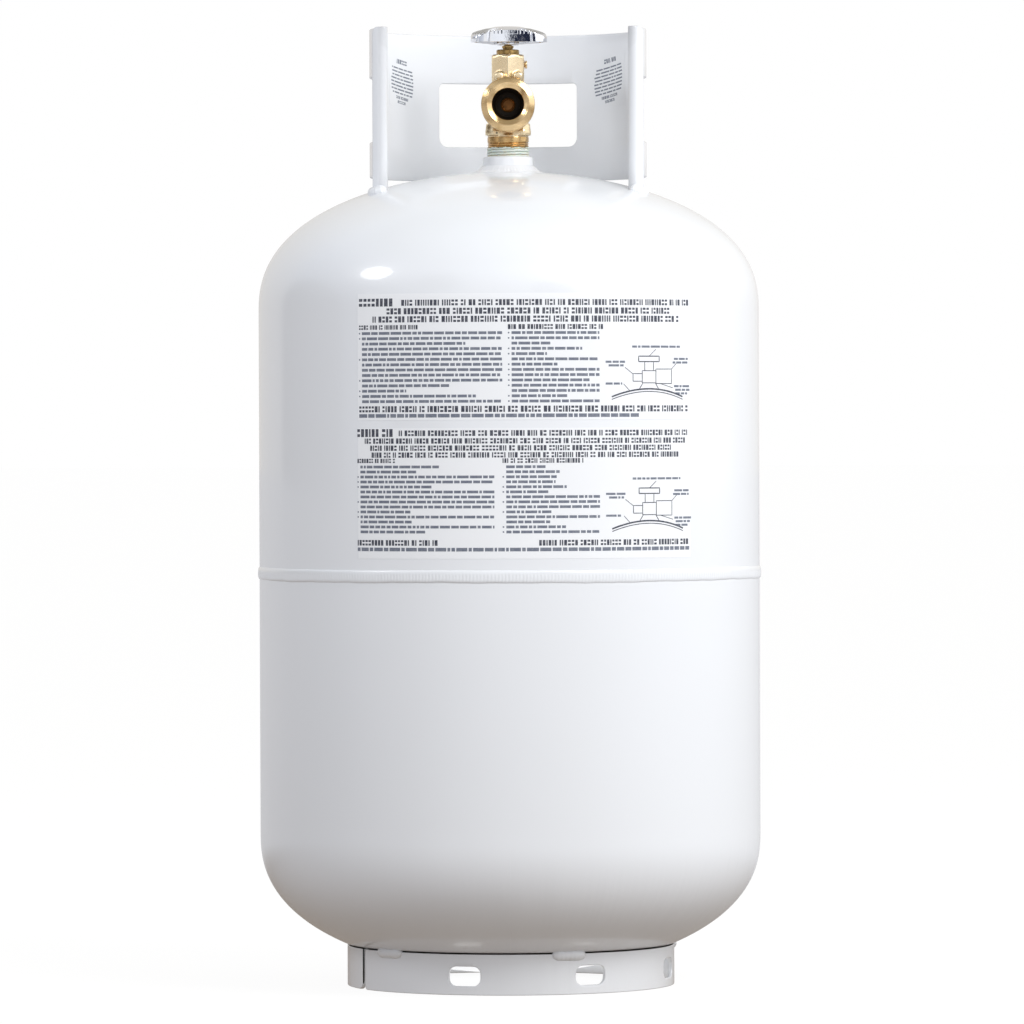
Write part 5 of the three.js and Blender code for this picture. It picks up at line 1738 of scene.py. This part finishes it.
# Soft boxes: name, azimuth, elevation, width and height in metres, and power
SOFT_BOX_DISTANCE = 2.6
SOFT_BOXES = (
    ("left_box", -68, 32, 0.7, 0.62, LEFT_BOX_POWER),
    ("right_box", 44, 36, 1.7, 1.1, RIGHT_BOX_POWER),
)

# Camera: place in metres, tip down and roll in degrees, and lens for a 36 mm sensor
CAMERA_PLACE = (0.0018, -4.8, 0.3488)
CAMERA_TIP = 0.648
CAMERA_ROLL = 0.2
CAMERA_LENS = 270.4

# Cards and flags in the room: azimuth, elevation, half their width in degrees, and their tone
ROOM_PATCHES = (
    (-9, 14, 11, (1.06, 1.07, 1.08)),
    (20, 15, 9.5, (0.02, 0.025, 0.05)),
    (57, 6, 13, (1.45, 1.5, 1.6)),
    (-65, 5, 8, (1.0, 1.0, 1.02)),
    (-42, -3, 13, (0.10, 0.08, 0.05)),
    (-34, 24, 9, (0.16, 0.14, 0.10)),
    (-105, -6, 24, (0.14, 0.12, 0.09)),
)


def direction(azimuth, elevation):
    a, e = math.radians(azimuth), math.radians(elevation)
    return Vector((math.sin(a) * math.cos(e), -math.cos(a) * math.cos(e), math.sin(e)))


def soft_box(name, azimuth, elevation, width, height, power):
    """An oval area light that faces the middle of the object."""
    light = bpy.data.lights.new(name, "AREA")
    light.shape = "ELLIPSE"
    light.size = width
    light.size_y = height
    light.energy = power
    made = placed(name, light)
    target = (cad_low + cad_high) / 2
    made.location = target + direction(azimuth, elevation) * SOFT_BOX_DISTANCE
    made.rotation_mode = "QUATERNION"
    made.rotation_quaternion = (made.location - target).to_track_quat("Z", "Y")


def patch(tree, toward, azimuth, elevation, spread):
    """A mask that is 1 inside a soft round patch of the room, spread degrees from its middle."""
    along = vector_maths(tree, "DOT_PRODUCT", toward, direction(azimuth, elevation))
    edge = math.cos(math.radians(spread * 1.12))
    core = math.cos(math.radians(spread * 0.88))
    return between(tree, along, edge, core, 0, 1)


def studio_world():
    """Pure white to the camera; to the object a grey room, lighter at the right, with dark flags whose
    reflections give the metal its contrast."""
    world = bpy.data.worlds.new("studio")
    world.use_nodes = True
    tree = world.node_tree
    background = tree.nodes["Background"]
    toward = tree.nodes.new("ShaderNodeTexCoord").outputs["Generated"]
    light_side = direction(90, 10)
    share = between(tree, vector_maths(tree, "DOT_PRODUCT", toward, light_side), -1, 1, 0, 1)
    room = blended(tree, share, ROOM_LEFT, ROOM_RIGHT)
    room = blended(tree, patch(tree, toward, 180, -5, 60), room, BACKDROP)
    room = blended(tree, patch(tree, toward, 0, 85, 40), room, CEILING)
    path = tree.nodes.new("ShaderNodeLightPath")
    mirrored = path.outputs["Is Glossy Ray"]
    for azimuth, elevation, spread, tone in ROOM_PATCHES:
        share = maths(tree, "MULTIPLY", patch(tree, toward, azimuth, elevation, spread), mirrored)
        room = blended(tree, share, room, tone)
    colour = blended(tree, path.outputs["Is Camera Ray"], room, (1.0, 1.0, 1.0))
    tree.links.new(colour, background.inputs["Color"])
    background.inputs["Strength"].default_value = 1.0
    bpy.context.scene.world = world


def floor_bounce(tree):
    """The floor's glow to the object, a painted bounce light: warm grey round its foot as a painted shadow,
    white farther out and to its right, and a bright painted glow inside the foot ring.
    """
    painted_shadow_middle = (-0.4, -0.15, 0)
    distance = vector_maths(tree, "DISTANCE", here(tree), painted_shadow_middle)
    far = between(tree, distance, 0.5, 1.15, 0, 1)
    around = blended(tree, far, FLOOR_NEAR, FLOOR_FAR)
    out = vector_maths(tree, "LENGTH", here(tree))
    inside = between(tree, out, (FOOT_R - 4) * MM, (FOOT_R - 8) * MM, 0, 1)
    return blended(tree, inside, around, FLOOR_INSIDE_FOOT)


def floor():
    """A plain floor: white to the camera, with only a faint shadow, and to the object a warm grey painted
    glow that stands in for its bounce light.
    """
    half = 60
    mesh = bpy.data.meshes.new("floor")
    corners = [(-half, -half, 0), (half, -half, 0), (half, half, 0), (-half, half, 0)]
    mesh.from_pydata(corners, [], [(0, 1, 2, 3)])
    material, tree, shader = new_material("floor_white")
    set_inputs(tree, shader, Base_Color=(0.8, 0.79, 0.78, 1), Roughness=0.9, Specular_IOR_Level=0.1)
    glow = tree.nodes.new("ShaderNodeEmission")
    glow.inputs["Strength"].default_value = 1.06
    pale = tree.nodes.new("ShaderNodeMixShader")
    pale.inputs[0].default_value = 0.86
    tree.links.new(shader.outputs[0], pale.inputs[1])
    tree.links.new(glow.outputs[0], pale.inputs[2])
    # Painted light: to all but the camera the floor is a glow, not a lit surface.
    grey = tree.nodes.new("ShaderNodeEmission")
    tree.links.new(floor_bounce(tree), grey.inputs["Color"])
    mix = tree.nodes.new("ShaderNodeMixShader")
    seen = tree.nodes.new("ShaderNodeLightPath").outputs["Is Camera Ray"]
    tree.links.new(seen, mix.inputs[0])
    tree.links.new(grey.outputs[0], mix.inputs[1])
    tree.links.new(pale.outputs[0], mix.inputs[2])
    tree.links.new(mix.outputs[0], tree.nodes["Material Output"].inputs["Surface"])
    mesh.materials.append(material)
    placed("floor", mesh)


def camera():
    """A long lens a little over a third of a metre up, tipped down slightly."""
    data = bpy.data.cameras.new("camera")
    data.sensor_width = 36
    data.lens = CAMERA_LENS
    data.clip_end = 100
    made = placed("camera", data)
    made.location = CAMERA_PLACE
    made.rotation_euler = (math.radians(90 - CAMERA_TIP), math.radians(CAMERA_ROLL), 0)
    bpy.context.scene.camera = made


studio_world()
floor()
camera()
for settings in SOFT_BOXES:
    soft_box(*settings)
bpy.context.scene.view_settings.view_transform = "Standard"
